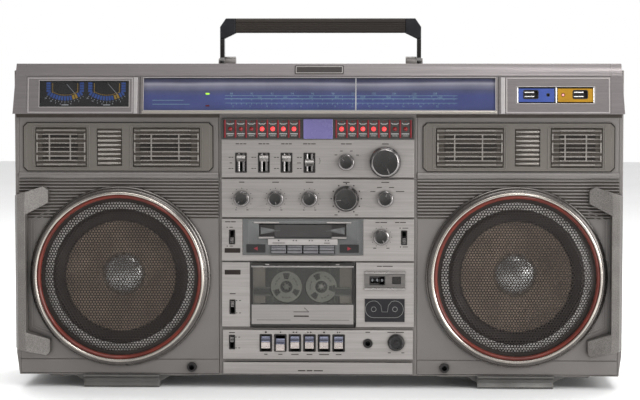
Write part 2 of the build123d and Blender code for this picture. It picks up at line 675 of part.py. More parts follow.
def antenna_rod():
    y, z = ANTENNA_YZ
    rod = rod_x(y, z, ANTENNA_BASE_X - ANTENNA_LENGTH - 0.5, ANTENNA_BASE_X - 14, ANTENNA_R - 0.9)
    mouth = ANTENNA_BASE_X - ANTENNA_LENGTH
    return rod + rod_x(y, z, mouth - 8, mouth - 0.4, ANTENNA_R)


def antenna_pivot():
    """The fixed pin that the antenna's knuckle turns on, set in the notch's inner wall."""
    y, z = ANTENNA_YZ
    pin = rod_y(ANTENNA_BASE_X, z, ANTENNA_NOTCH[2] - 1, y + 4.6, 2.5)
    return pin + rod_y(ANTENNA_BASE_X, z, y + 4.3, y + 5.6, 4.5)


def battery_cover():
    x0, x1, _, z0, z1 = BATTERY_BAY
    cover = block(x0 - 5, x1 + 5, REAR_Y + 0.1, REAR_LIMIT - 0.4, z0 - 5, z1 + 5)
    for x in (-90, 90):
        cover += block(x - 12, x + 12, REAR_Y - 3, REAR_Y + 0.2, z1 - 2.2, z1 - 0.4)
    return cover


# ---- what the cabinet holds ----
def jack(x, z):
    bush = rod_y(x, z, JACK_FRONT, -66, JACK_R)
    return bush - rod_y(x, z, JACK_FRONT - 1, JACK_BORE_END, JACK_BORE_R)


def mains_inlet():
    inlet = block(-318, -296, REAR_Y - 8, REAR_Y - 2, 72, 88)
    return inlet - block(-314, -300, REAR_Y - 6, REAR_Y - 1, 76, 84)


def tape_mechanisms():
    """Both decks' chassis plates, with the lower deck's spindles, head, motor and flywheel."""
    chassis = block(-84, 46, -60, -58, 78, 155)
    for x, z in hubs():
        chassis += rod_y(x, z, -72.5, -59, 2.6)
    chassis += block(-26, -9, -76, -59, 79.6, 87.6)
    motor = rod_y(32, 94, -57.8, -28, 15)
    flywheel = rod_y(-52, 98, -56, -50, 24) + rod_y(-52, 98, -57.8, -56, 3)
    pivot_rod = rod_x(*KEY_PIVOT, -76, 38, 2.0)
    upper = block(-74, 36, -7, 20, 182, 203)
    return chassis, motor, flywheel, pivot_rod, upper


def electronics():
    """Main and tuner boards, an output stage's heat sink and the mains transformer."""
    main = block(-108, 108, 34, 35.6, 132, 330)
    tuner = block(-180, 180, -40, -38.4, 342, 376)
    sink = block(-60, 60, 36, 40, 150, 200)
    for i in range(9):
        sink += block(-58 + 14 * i, -56 + 14 * i, 40, 56, 150, 200)
    core = block(126, 184, -16, 30, 20, 68)
    core -= block(138, 150, -17, 31, 30, 58)
    core -= block(160, 172, -17, 31, 30, 58)
    coil = block(138.2, 171.8, -24, 38, 30.2, 57.8) - block(149.8, 160.2, -25, 39, 29, 59)
    return main, tuner, sink, core, coil


# ---- write every node ----
def main():
    os.makedirs("parts", exist_ok=True)
    save("front_cabinet", front_cabinet())
    save("rear_cabinet", rear_cabinet() + antenna_pivot())
    baffle = speaker_baffle()
    save("speaker_baffles", baffle, mirrored(baffle))
    cap = visor_end_cap()
    save("tuner_visor", visor(), cap, mirrored(cap))
    save("visor_windows", window_pane(DIAL), window_pane(METER))
    needles = [meter_needle(x) for x in (-306.0, -256.0)]
    save("dial_and_meter_scales", dial_plate(DIAL, 7.0), dial_plate(METER, 5.2), *needles)
    save("dial_pointer", on_visor(block(POINTER_X - 0.7, POINTER_X + 0.7, 4.2, 5.2, 4.5, 44.5)))
    save("led_display", *led_display())
    plates = control_panels()
    plates.append(power_plate(240.8, 283.8, SECURITY_SLOT_X, 276.4))
    plates.append(power_plate(287.7, 329.7, POWER_SLOT_X, 294.2))
    plates += [counter_bezel(), *counter_wheels(), grown(RUN_INDICATOR, 0, PANEL_Y - 0.8, PANEL_Y)]
    save("control_panels", *plates)
    save("security_switch", power_slider(SECURITY_SLOT_X - POWER_THROW))
    save("power_switch", power_slider(POWER_SLOT_X - POWER_THROW))
    for name, x, rise in LEVERS:
        save(name, lever(x, rise))
    for name, x, z, radius, height in KNOBS:
        save(name, knob(x, z, radius, height))
    for name, x, z, rise in SLIDES:
        save(name, slide_nub(x, z, rise))
    save("tape2_bay", tape2_bay())
    save("tape2_flap", tape2_flap())
    for i, name in enumerate(TAPE2_KEYS):
        save(name, tape2_key(i))
    save("tape1_door", *tape1_door())
    save("cassette_shell", cassette())
    for name, (x, z) in zip(("supply_reel", "take_up_reel"), hubs()):
        save(name, reel(x, z))
    save("counter_reset_button", grown(RESET_WINDOW, -GAP, PANEL_Y - 2.6, -74))
    for i, name in enumerate(KEYS):
        save(name, deck_key(i))
    save("spare_tape_drawer", spare_tape_drawer())
    bezel, ring, grille = woofer_bezel(), woofer_trim_ring(), woofer_grille()
    save("woofer_bezels", bezel, mirrored(bezel), ring, mirrored(ring))
    save("woofer_grilles", grille, mirrored(grille))
    basket, cone = woofer_driver()
    horns = [horn_driver((place[0] + place[1]) / 2, 20 if place[4] else 12) for place in LOUVRES]
    drivers = [basket, cone, *horns]
    save("speaker_drivers", *drivers, *[mirrored(d) for d in drivers])
    panel, louvres = louvre_panel()
    save("louvre_panels", panel, mirrored(panel), *louvres, *[mirrored(l) for l in louvres])
    guard = side_guard()
    save("side_guards", guard, mirrored(guard))
    skid = foot()
    save("feet", skid, mirrored(skid))
    arm, corner = handle_arm(), handle_corner()
    save("handle_arms", arm, mirrored(arm))
    save("handle_grip", handle_grip(), corner, mirrored(corner))
    save("antenna_mast", antenna_mast())
    save("antenna_rod", antenna_rod())
    save("battery_cover", battery_cover())
    save("jack_sockets", *[jack(x, z) for x, z in JACKS], mains_inlet())
    save("tape_mechanisms", *tape_mechanisms())
    save("electronics", *electronics())


main()
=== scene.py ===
from math import atan2, ceil, cos, degrees, hypot, pi, radians, sin, sqrt

import bmesh
import bpy
from mathutils import Matrix, Vector


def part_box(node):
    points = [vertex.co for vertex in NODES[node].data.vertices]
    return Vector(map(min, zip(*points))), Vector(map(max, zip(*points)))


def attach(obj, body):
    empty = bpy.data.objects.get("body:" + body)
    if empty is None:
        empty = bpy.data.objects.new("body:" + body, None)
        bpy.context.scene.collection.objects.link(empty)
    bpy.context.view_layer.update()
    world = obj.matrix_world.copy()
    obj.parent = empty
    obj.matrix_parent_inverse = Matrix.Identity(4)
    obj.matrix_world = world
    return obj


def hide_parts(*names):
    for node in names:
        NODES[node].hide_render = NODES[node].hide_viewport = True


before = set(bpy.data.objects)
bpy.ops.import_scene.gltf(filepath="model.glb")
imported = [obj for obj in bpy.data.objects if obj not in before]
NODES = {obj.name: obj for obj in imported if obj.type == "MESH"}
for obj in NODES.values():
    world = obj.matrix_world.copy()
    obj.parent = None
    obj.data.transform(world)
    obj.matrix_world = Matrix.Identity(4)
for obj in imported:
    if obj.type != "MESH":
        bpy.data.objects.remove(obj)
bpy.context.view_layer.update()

# Shapes are drawn in millimetres in the frame's own axes and turned into metres when a piece is made.
MM = 0.001
EYE, AIM = (0.088, -2.683, 0.394), (0.0027, -0.083, 0.2295)
LENS, SENSOR = 121.2, 36
WORLD_FRONT = 0.42           # how bright the studio is in front of the object; behind it is plain white
WORLD_FADE = (-0.35, 0.05)


def span(node):
    """A CAD node's box in millimetres: X from and to, Y from and to, Z from and to."""
    lo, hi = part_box(node)
    return lo.x / MM, hi.x / MM, lo.y / MM, hi.y / MM, lo.z / MM, hi.z / MM


def middle(node):
    x0, x1, _, _, z0, z1 = span(node)
    return (x0 + x1) / 2, (z0 + z1) / 2


# ---- mesh building ----
def circle(x, z, radius, y, steps, ripples=0, depth=0.0):
    """Points round a front-to-back axis; ripples cut that many flutes of the given depth."""
    loop = []
    for i in range(steps):
        angle = 2 * pi * i / steps
        r = radius - depth * (0.5 - 0.5 * cos(ripples * angle))
        loop.append((x + r * cos(angle), y, z + r * sin(angle)))
    return loop


def rounded(x0, x1, z0, z1, radius, steps=5):
    """A rectangle's outline with round corners, as (X, Z)."""
    corners = [(x1 - radius, z1 - radius, 0), (x0 + radius, z1 - radius, 1)]
    corners += [(x0 + radius, z0 + radius, 2), (x1 - radius, z0 + radius, 3)]
    outline = []
    for cx, cz, quarter in corners:
        for i in range(steps + 1):
            angle = pi / 2 * (quarter + i / steps)
            outline.append((cx + radius * cos(angle), cz + radius * sin(angle)))
    return outline


def circle_outline(x, z, radius, steps=28):
    return [(px, pz) for px, _, pz in circle(x, z, radius, 0, steps)]


def rect(x0, x1, z0, z1):
    return [(x0, z0), (x1, z0), (x1, z1), (x0, z1)]


def arc(x, z, radius, start, stop, steps):
    """(X, Z) points along an arc, with angles in degrees from +X towards +Z."""
    angles = [radians(start + (stop - start) * i / steps) for i in range(steps + 1)]
    return [(x + radius * cos(a), z + radius * sin(a)) for a in angles]


class Shape:
    """Faces collected in millimetres, each with the number of its material."""

    def __init__(self, place=None):
        self.points = []
        self.faces = []
        self.looks = []
        self.look = 0
        self.place = place or Matrix()

    def add(self, points, faces):
        first = len(self.points)
        self.points.extend(self.place @ Vector(p) for p in points)
        self.faces.extend(tuple(first + i for i in face) for face in faces)
        self.looks.extend([self.look] * len(faces))

    def loft(self, loops, cyclic=False, caps=True):
        """Skins a row of loops that have the same number of points."""
        count, rows = len(loops[0]), len(loops)
        faces = []
        for row in range(rows if cyclic else rows - 1):
            a, b = row * count, (row + 1) % rows * count
            faces += [(a + i, a + (i + 1) % count, b + (i + 1) % count, b + i) for i in range(count)]
        if caps and not cyclic:
            faces += [tuple(range(count)), tuple(range((rows - 1) * count, rows * count))]
        self.add([p for loop in loops for p in loop], faces)

    def prism_y(self, outline, y0, y1):
        self.loft([[(x, y, z) for x, z in outline] for y in (y0, y1)])

    def prism_x(self, outline, x0, x1):
        self.loft([[(x, y, z) for y, z in outline] for x in (x0, x1)])

    def prism_z(self, outline, z0, z1):
        self.loft([[(x, y, z) for x, y in outline] for z in (z0, z1)])

    def box(self, x0, x1, y0, y1, z0, z1):
        self.prism_y([(x0, z0), (x1, z0), (x1, z1), (x0, z1)], y0, y1)

    def ring(self, outer, inner, y0, y1):
        """A frame between two outlines that have the same number of points."""
        loops = [(outer, y1), (outer, y0), (inner, y0), (inner, y1)]
        self.loft([[(x, y, z) for x, z in outline] for outline, y in loops], cyclic=True)

    def lathe(self, x, z, profile, steps=64, closed=False, ripples=0, depth=0.0):
        """Turns a (radius, Y) profile about a front-to-back axis; a closed profile makes a ring."""
        loops = [circle(x, z, r, y, steps, ripples, depth) for r, y in profile if r > 0]
        self.loft(loops, cyclic=closed, caps=False)
        if closed:
            return
        for (_, y), loop in ((profile[0], loops[0]), (profile[-1], loops[-1])):
            self.add([(x, y, z), *loop], [(0, i + 1, (i + 1) % steps + 1) for i in range(steps)])

    def stroke(self, path, width, y, thick=0.12):
        """A raised line of constant width along (X, Z) points, standing on the plane at y."""
        sections = []
        for i, (x, z) in enumerate(path):
            before, after = path[max(i - 1, 0)], path[min(i + 1, len(path) - 1)]
            dx, dz = after[0] - before[0], after[1] - before[1]
            length = hypot(dx, dz) or 1.0
            nx, nz = -dz / length * width / 2, dx / length * width / 2
            sides = [(x + nx, z + nz), (x - nx, z - nz)]
            front = [(sx, y - thick, sz) for sx, sz in sides]
            sections.append([*front, *[(sx, y, sz) for sx, sz in reversed(sides)]])
        self.loft(sections)

    def cells(self, at, columns, rows, filled, front, back, wrap=False):
        """A plate of grid cells: at(i, j) gives a corner's (X, Z), filled(i, j) the solid cells."""
        across = columns if wrap else columns + 1
        points = [(*at(i, j), y) for y in (front, back) for j in range(rows + 1) for i in range(across)]
        layer = across * (rows + 1)

        def corner(i, j, back_layer=0):
            return back_layer * layer + j * across + (i % across if wrap else i)

        def solid(i, j):
            if wrap:
                i %= columns
            return 0 <= i < columns and 0 <= j < rows and filled(i, j)

        faces = []
        for j in range(rows):
            for i in range(columns):
                if not solid(i, j):
                    continue
                ring = [(i, j), (i + 1, j), (i + 1, j + 1), (i, j + 1)]
                faces.append(tuple(corner(*c) for c in ring))
                faces.append(tuple(corner(*c, 1) for c in reversed(ring)))
                sides = [((i, j - 1), 0, 1), ((i + 1, j), 1, 2), ((i, j + 1), 2, 3), ((i - 1, j), 3, 0)]
                for neighbour, a, b in sides:
                    if not solid(*neighbour):
                        faces.append((corner(*ring[b]), corner(*ring[a]), corner(*ring[a], 1),
                            corner(*ring[b], 1)))
        used = sorted({i for face in faces for i in face})
        number = {old: new for new, old in enumerate(used)}
        kept = [(points[i][0], points[i][2], points[i][1]) for i in used]
        self.add(kept, [tuple(number[i] for i in face) for face in faces])

    def plate(self, x0, x1, z0, z1, front, back, windows=()):
        """A flat plate with rectangular windows, each (X from, X to, Z from, Z to)."""
        xs = sorted({x0, x1, *[w[0] for w in windows], *[w[1] for w in windows]})
        zs = sorted({z0, z1, *[w[2] for w in windows], *[w[3] for w in windows]})

        def filled(i, j):
            x, z = (xs[i] + xs[i + 1]) / 2, (zs[j] + zs[j + 1]) / 2
            return not any(w[0] < x < w[1] and w[2] < z < w[3] for w in windows)

        self.cells(lambda i, j: (xs[i], zs[j]), len(xs) - 1, len(zs) - 1, filled, front, back)

    def numeral(self, text, x, z, size, y):
        """A printed number, standing 0.1 mm proud of the plane at y."""
        curve = bpy.data.curves.new("numeral", "FONT")
        curve.body, curve.size = text, size
        curve.align_x, curve.align_y = "CENTER", "CENTER"
        curve.resolution_u = 2
        curve.extrude = 0.05
        stamp = bpy.data.objects.new("numeral", curve)
        mesh = bpy.data.meshes.new_from_object(stamp)
        points = [(x + v.co.x, y - 0.05 - v.co.z, z + v.co.y) for v in mesh.vertices]
        self.add(points, [tuple(p.vertices) for p in mesh.polygons])
        bpy.data.objects.remove(stamp)
        bpy.data.meshes.remove(mesh)
        bpy.data.curves.remove(curve)


def soften(piece, width, steps=2):
    """Rounds a piece's edges, in millimetres, and keeps its flat faces flat."""
    bevel = piece.modifiers.new("rounded edges", "BEVEL")
    bevel.width = width * MM
    bevel.segments = steps
    bevel.limit_method = "ANGLE"
    bevel.angle_limit = radians(38)
    bevel.harden_normals = True


def make(name, shape, looks, body, replaces=(), bevel=0.0, steps=2, crease=38):
    """Turns a shape into a piece that rides on a CAD body."""
    mesh = bpy.data.meshes.new(name)
    mesh.from_pydata([p * MM for p in shape.points], [], shape.faces)
    mesh.polygons.foreach_set("material_index", shape.looks)
    for look in looks if isinstance(looks, (list, tuple)) else [looks]:
        mesh.materials.append(look)
    tidy = bmesh.new()
    tidy.from_mesh(mesh)
    bmesh.ops.recalc_face_normals(tidy, faces=tidy.faces)
    tidy.to_mesh(mesh)
    tidy.free()
    mesh.shade_smooth()
    mesh.set_sharp_from_angle(angle=radians(crease))
    piece = bpy.data.objects.new(name, mesh)
    bpy.context.scene.collection.objects.link(piece)
    if bevel:
        soften(piece, bevel, steps)
    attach(piece, body)
    if replaces:
        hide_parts(*replaces)
    return piece


def dress(node, look, bevel=0.0, steps=2):
    """Gives a CAD node its material, and rounded edges where it has sharp ones."""
    piece = NODES[node]
    piece.data.materials.clear()
    piece.data.materials.append(look)
    if bevel:
        weld = piece.modifiers.new("weld", "WELD")
        weld.merge_threshold = 0.002 * MM
        soften(piece, bevel, steps)


# ---- materials ----
def mix_colour(tree, factor, first, second):
    node = tree.nodes.new("ShaderNodeMix")
    node.data_type = "RGBA"
    for socket, value in ((node.inputs[0], factor), (node.inputs[6], first), (node.inputs[7], second)):
        if isinstance(value, bpy.types.NodeSocket):
            tree.links.new(value, socket)
        elif isinstance(value, (int, float)):
            socket.default_value = value
        else:
            socket.default_value = (*value, 1.0)
    return node.outputs[2]


def ranged(tree, value, low, high, to_low, to_high):
    node = tree.nodes.new("ShaderNodeMapRange")
    tree.links.new(value, node.inputs["Value"])
    for key, number in (("From Min", low), ("From Max", high), ("To Min", to_low), ("To Max", to_high)):
        node.inputs[key].default_value = number
    return node.outputs["Result"]


def noise(tree, coordinates, scale, detail=3.0, stretch=(1.0, 1.0, 1.0)):
    mapping = tree.nodes.new("ShaderNodeMapping")
    mapping.inputs["Scale"].default_value = [scale * s for s in stretch]
    tree.links.new(coordinates, mapping.inputs["Vector"])
    node = tree.nodes.new("ShaderNodeTexNoise")
    node.inputs["Scale"].default_value = 1.0
    node.inputs["Detail"].default_value = detail
    tree.links.new(mapping.outputs["Vector"], node.inputs["Vector"])
    return node.outputs["Fac"]


def edge_mask(tree):
    """One on flat faces, and falling towards sharp edges, whatever the mesh's triangles."""
    soft = tree.nodes.new("ShaderNodeBevel")
    soft.samples = 4
    soft.inputs["Radius"].default_value = 0.7 * MM
    true = tree.nodes.new("ShaderNodeNewGeometry").outputs["True Normal"]
    dot = tree.nodes.new("ShaderNodeVectorMath")
    dot.operation = "DOT_PRODUCT"
    tree.links.new(soft.outputs["Normal"], dot.inputs[0])
    tree.links.new(true, dot.inputs[1])
    return dot.outputs["Value"]


def surface(name, colour, second=None, patches=45.0, stretch=(1, 1, 1), grain=0.06, grain_scale=1400.0,
        bump=0.02, metallic=0.0, rough=0.45, spread=0.07, coat=0.0, wear=0.0, painted_corner_shade=0.0, brushed=0.0,
        specular=0.5, glow=0.0):
    """A procedural finish: slow patches of a second colour, fine grain, uneven gloss, pale worn edges
    and painted shade in the corners and creases. Scales are per metre, and bump is the grain's height in
    millimetres."""
    material = bpy.data.materials.new(name)
    material.use_nodes = True
    tree = material.node_tree
    shader = tree.nodes["Principled BSDF"]
    where = tree.nodes.new("ShaderNodeTexCoord").outputs["Object"]
    slow = noise(tree, where, patches, 4.0, stretch)
    fine = noise(tree, where, grain_scale, 2.0, stretch)
    second = second or tuple(c * 0.86 for c in colour)
    tone = mix_colour(tree, ranged(tree, slow, 0.32, 0.68, 0.0, 1.0), colour, second)
    tone = mix_colour(tree, ranged(tree, fine, 0.35, 0.65, 0.0, grain), tone, (0.0, 0.0, 0.0))
    # painted shade: ambient occlusion darkens the colour towards near black in corners and creases
    if painted_corner_shade:
        corner = tree.nodes.new("ShaderNodeAmbientOcclusion")
        corner.samples = 4
        corner.inputs["Distance"].default_value = 4 * MM
        shade = ranged(tree, corner.outputs["AO"], 0.35, 0.95, painted_corner_shade, 0.0)
        tone = mix_colour(tree, shade, tone, (0.02, 0.017, 0.015))
    if wear:
        tone = mix_colour(tree, ranged(tree, edge_mask(tree), 0.70, 0.985, wear, 0.0), tone,
            tuple(min(1.0, c * 1.7 + 0.08) for c in colour))
    tree.links.new(tone, shader.inputs["Base Color"])
    gloss = ranged(tree, slow, 0.3, 0.7, max(0.03, rough - spread), min(1.0, rough + spread))
    tree.links.new(gloss, shader.inputs["Roughness"])
    relief = tree.nodes.new("ShaderNodeBump")
    relief.inputs["Strength"].default_value = 1.0
    relief.inputs["Distance"].default_value = bump * MM
    tree.links.new(fine, relief.inputs["Height"])
    tree.links.new(relief.outputs["Normal"], shader.inputs["Normal"])
    shader.inputs["Metallic"].default_value = metallic
    shader.inputs["Coat Weight"].default_value = coat
    shader.inputs["Specular IOR Level"].default_value = specular
    if brushed:
        along = tree.nodes.new("ShaderNodeTangent")
        along.direction_type = "RADIAL"
        along.axis = "Z"
        tree.links.new(along.outputs["Tangent"], shader.inputs["Tangent"])
        shader.inputs["Anisotropic"].default_value = brushed
    # glow makes a material emit its own colour: real light on the lamps, and a painted glow on the prints,
    # dial, window, cone, pointer and unlit lamp that set it
    if glow:
        tree.links.new(tone, shader.inputs["Emission Color"])
        shader.inputs["Emission Strength"].default_value = glow
    return material


def mix_painted_reflection_bands(material, low, high, bands):
    """Mixes a gradient into a material, from low to high in metres up the object: on the dial, its blue print
    below painted shade and a painted reflection line.
    """
    tree = material.node_tree
    shader = tree.nodes["Principled BSDF"]
    where = tree.nodes.new("ShaderNodeTexCoord").outputs["Object"]
    split = tree.nodes.new("ShaderNodeSeparateXYZ")
    tree.links.new(where, split.inputs["Vector"])
    wave = noise(tree, where, 9.0, 2.0)
    height = tree.nodes.new("ShaderNodeMath")
    height.operation = "MULTIPLY_ADD"
    tree.links.new(wave, height.inputs[0])
    height.inputs[1].default_value = (high - low) * 0.12
    tree.links.new(split.outputs["Z"], height.inputs[2])
    place = ranged(tree, height.outputs["Value"], low + (high - low) * 0.06, high + (high - low) * 0.06, 0.0,
        1.0)
    ramp = tree.nodes.new("ShaderNodeValToRGB")
    tree.links.new(place, ramp.inputs["Fac"])
    for spare in list(ramp.color_ramp.elements)[1:]:
        ramp.color_ramp.elements.remove(spare)
    ramp.color_ramp.elements[0].position = bands[0][0]
    ramp.color_ramp.elements[0].color = (*bands[0][1], 1.0)
    for position, colour in bands[1:]:
        ramp.color_ramp.elements.new(position).color = (*colour, 1.0)
    tone = mix_colour(tree, 0.85, tree.nodes["Principled BSDF"].inputs["Base Color"].links[0].from_socket,
        ramp.outputs["Color"])
    tree.links.new(tone, shader.inputs["Base Color"])
    # where the material glows, the painted shade and reflection bands glow with it
    if shader.inputs["Emission Strength"].default_value:
        tree.links.new(tone, shader.inputs["Emission Color"])


def glass(name, tint):
    """A thin pane: it lets through its tint, and reflects more towards grazing angles."""
    material = bpy.data.materials.new(name)
    material.use_nodes = True
    tree = material.node_tree
    tree.nodes.remove(tree.nodes["Principled BSDF"])
    where = tree.nodes.new("ShaderNodeTexCoord").outputs["Object"]
    film = noise(tree, where, 30.0, 4.0)
    through = tree.nodes.new("ShaderNodeBsdfTransparent")
    colour = mix_colour(tree, ranged(tree, film, 0.3, 0.7, 0.0, 1.0), tint, tuple(c * 0.93 for c in tint))
    tree.links.new(colour, through.inputs["Color"])
    mirror = tree.nodes.new("ShaderNodeBsdfGlossy")
    tree.links.new(ranged(tree, film, 0.3, 0.7, 0.04, 0.09), mirror.inputs["Roughness"])
    facing = tree.nodes.new("ShaderNodeFresnel")
    facing.inputs["IOR"].default_value = 1.45
    both = tree.nodes.new("ShaderNodeMixShader")
    tree.links.new(facing.outputs["Fac"], both.inputs["Fac"])
    tree.links.new(through.outputs["BSDF"], both.inputs[1])
    tree.links.new(mirror.outputs["BSDF"], both.inputs[2])
    tree.links.new(both.outputs["Shader"], tree.nodes["Material Output"].inputs["Surface"])
    return material


BRUSH = (0.012, 0.2, 1.0)    # hair lines that run left to right
DULL = 0.18                  # specular level of dark plastics, paints and prints
SILVER = surface("cabinet_silver_paint", (0.178, 0.165, 0.157), (0.164, 0.152, 0.144), patches=14, grain=0.12,
    bump=0.012, metallic=0.55, rough=0.42, spread=0.03, wear=0.5, painted_corner_shade=0.55)
VISOR = surface("visor_brushed_silver", (0.235, 0.213, 0.213), (0.196, 0.178, 0.177), patches=300,
    stretch=BRUSH, grain=0.14, grain_scale=2600, bump=0.006, metallic=0.7, rough=0.36, wear=0.4, painted_corner_shade=0.4,
    brushed=0.4)
# painted highlight: a brighter copy of the visor silver for the lips round its windows
VISOR_EDGE = surface("visor_bright_edge", (0.42, 0.39, 0.385), (0.35, 0.325, 0.32), patches=120,
    stretch=BRUSH, grain=0.08, metallic=0.6, rough=0.36)
ALUMINIUM = surface("panel_brushed_aluminium", (0.335, 0.313, 0.30), (0.28, 0.262, 0.25), patches=420,
    stretch=BRUSH, grain=0.12, grain_scale=3000, bump=0.005, metallic=0.75, rough=0.34, spread=0.05,
    wear=0.25, painted_corner_shade=0.45, brushed=0.6)
BLACK = surface("black_plastic", (0.018, 0.016, 0.016), (0.03, 0.027, 0.026), grain=0.2, rough=0.5, wear=0.2,
    specular=DULL)
SATIN_BLACK = surface("satin_black_trim", (0.028, 0.025, 0.024), (0.018, 0.016, 0.016), patches=80, grain=0.2,
    rough=0.32, wear=0.35, specular=DULL)
BEZEL = surface("woofer_bezel_metal", (0.155, 0.142, 0.133), (0.11, 0.10, 0.094), patches=35, grain=0.1,
    bump=0.008, metallic=0.85, rough=0.26, wear=0.2, painted_corner_shade=0.3)
LIP = surface("woofer_bezel_bright_lip", (0.50, 0.46, 0.41), (0.36, 0.33, 0.30), patches=40, grain=0.06,
    bump=0.004, metallic=0.9, rough=0.2)
RED_RING = surface("red_trim_ring", (0.15, 0.024, 0.014), (0.09, 0.016, 0.011), patches=50, grain=0.1,
    bump=0.01, rough=0.38, coat=0.3, specular=DULL)
GRILLE = surface("perforated_steel", (0.040, 0.033, 0.030), (0.028, 0.023, 0.021), patches=25, grain=0.2,
    bump=0.015, metallic=0.3, rough=0.42, specular=DULL)
# painted glow: the paper cone emits light though it is no lamp
PAPER = surface("paper_cone", (0.46, 0.36, 0.28), (0.30, 0.235, 0.185), patches=30, grain=0.3,
    grain_scale=900, bump=0.12, rough=0.85, glow=0.09)
RUBBER = surface("rubber_surround", (0.05, 0.046, 0.044), (0.035, 0.032, 0.031), grain=0.2, rough=0.55,
    specular=DULL)
CAP_METAL = surface("aluminium_dust_cap", (0.62, 0.62, 0.60), (0.50, 0.50, 0.485), patches=60, grain=0.08,
    metallic=0.9, rough=0.25)
BASKET = surface("zinc_plated_basket", (0.85, 0.83, 0.80), (0.7, 0.68, 0.66), patches=40, grain=0.15,
    metallic=0.5, rough=0.5)
BEIGE = surface("louvre_panel_plastic", (0.132, 0.119, 0.104), (0.112, 0.1, 0.088), patches=16, grain=0.12,
    bump=0.012, metallic=0.35, rough=0.42, wear=0.4, painted_corner_shade=0.5)
BRIGHT_BAR = surface("louvre_bright_bars", (0.33, 0.305, 0.28), (0.25, 0.23, 0.21), patches=30, stretch=
    (0.3, 1, 1), grain=0.08, metallic=0.7, rough=0.25, wear=0.3)
GUARD = surface("speckled_guard", (0.155, 0.142, 0.132), (0.21, 0.195, 0.183), patches=30, grain=0.45,
    grain_scale=900, bump=0.05, metallic=0.45, rough=0.45, wear=0.45, painted_corner_shade=0.35)
CHROME = surface("chrome", (0.78, 0.77, 0.76), (0.66, 0.65, 0.64), patches=50, grain=0.04, bump=0.002,
    metallic=1.0, rough=0.16, spread=0.05)
DARK_CHROME = surface("dark_chrome", (0.30, 0.285, 0.28), (0.2, 0.19, 0.187), patches=70, grain=0.06,
    metallic=1.0, rough=0.2, spread=0.06)
LEVER_METAL = surface("lever_metal", (0.42, 0.40, 0.385), (0.30, 0.285, 0.275), patches=90, grain=0.06,
    metallic=1.0, rough=0.28, spread=0.05)
STEEL = surface("plain_steel", (0.5, 0.49, 0.48), (0.4, 0.39, 0.38), patches=60, grain=0.15, metallic=0.9,
    rough=0.35)
KNOB = surface("knob_plastic", (0.035, 0.034, 0.034), (0.026, 0.025, 0.025), patches=90, grain=0.1,
    metallic=0.2, rough=0.3, coat=0.2, wear=0.3, specular=DULL)
KNOB_TOP = surface("knob_spun_cap", (0.055, 0.053, 0.052), (0.038, 0.037, 0.036), patches=90, grain=0.12,
    metallic=0.85, rough=0.3, brushed=0.5)
KEY_LOWER = surface("key_plated", (0.50, 0.445, 0.42), (0.40, 0.355, 0.335), patches=70, grain=0.06,
    metallic=0.8, rough=0.24, wear=0.2)
# painted reflection: the blue-grey of the keys' upper facet
KEY_UPPER_PAINTED_REFLECTION = surface("key_blue_reflection_plating", (0.15, 0.155, 0.20), (0.11, 0.115, 0.155), patches=70,
    grain=0.06, metallic=0.85, rough=0.2)
BAY = surface("deck_surround_grey", (0.115, 0.118, 0.116), (0.095, 0.098, 0.096), patches=40, grain=0.12,
    metallic=0.3, rough=0.36, wear=0.5, painted_corner_shade=0.3)
FLAP = surface("deck_flap_grey", (0.06, 0.058, 0.057), (0.05, 0.048, 0.047), patches=60, grain=0.12,
    metallic=0.3, rough=0.35, wear=0.3, specular=DULL)
STRIP = surface("label_strip_grey", (0.40, 0.375, 0.365), (0.35, 0.33, 0.32), patches=200, stretch=BRUSH,
    grain=0.1, metallic=0.6, rough=0.38)
PRINT = surface("dark_print", (0.014, 0.010, 0.009), (0.022, 0.016, 0.014), grain=0.1, bump=0.0, rough=0.55,
    specular=DULL)
# painted glow: the pale prints, meter needles and counter digits emit light though they are no lamp
PALE_PRINT = surface("pale_print", (0.62, 0.64, 0.66), (0.5, 0.52, 0.55), grain=0.1, bump=0.0, rough=0.5,
    glow=0.12)
# painted glow: the dial's printed scale emits light though it is no lamp
TEAL_PRINT = surface("dial_scale_print", (0.25, 0.42, 0.52), (0.2, 0.36, 0.46), grain=0.08, bump=0.0,
    rough=0.5, glow=0.2)
# painted glow: the dial face emits light though it is no lamp
DIAL_FACE = surface("dial_print_and_painted_reflection", (0.062, 0.085, 0.27), (0.085, 0.10, 0.26), patches=22, grain=0.06,
    bump=0.004, rough=0.4, glow=0.16, specular=DULL)
# From the bottom: the dial's blue print, then painted shade, a painted pale reflection line and painted shade
# at the top.
DIAL_PRINT_AND_PAINTED_REFLECTION = ((0.0, (0.095, 0.12, 0.33)), (0.45, (0.09, 0.115, 0.33)), (0.60, (0.13, 0.135, 0.24)),
    (0.74, (0.34, 0.34, 0.42)), (0.81, (0.58, 0.57, 0.62)), (0.88, (0.12, 0.12, 0.20)),
    (1.0, (0.05, 0.05, 0.10)))
mix_painted_reflection_bands(DIAL_FACE, 0.3375, 0.3775, DIAL_PRINT_AND_PAINTED_REFLECTION)
METER_BLACK = surface("meter_black_print", (0.012, 0.012, 0.012), (0.03, 0.029, 0.028), patches=25, grain=0.1,
    rough=0.5, specular=DULL)
# painted glow on the meter's blue print
METER_BLUE = surface("meter_blue_print", (0.045, 0.12, 0.42), (0.035, 0.09, 0.34), patches=120, grain=0.08,
    bump=0.0, rough=0.5, glow=0.1, specular=DULL)
# painted glow on the meter's gold print
GOLD_PRINT = surface("meter_gold_print", (0.55, 0.33, 0.02), (0.45, 0.27, 0.02), patches=120, grain=0.08,
    bump=0.0, rough=0.45, glow=0.08)
POWER_BLUE = surface("power_plate_blue", (0.045, 0.075, 0.26), (0.035, 0.06, 0.22), patches=40, grain=0.1,
    rough=0.4, specular=DULL)
POWER_GOLD = surface("power_plate_gold", (0.36, 0.19, 0.012), (0.30, 0.155, 0.01), patches=40, grain=0.12,
    rough=0.4, specular=DULL)
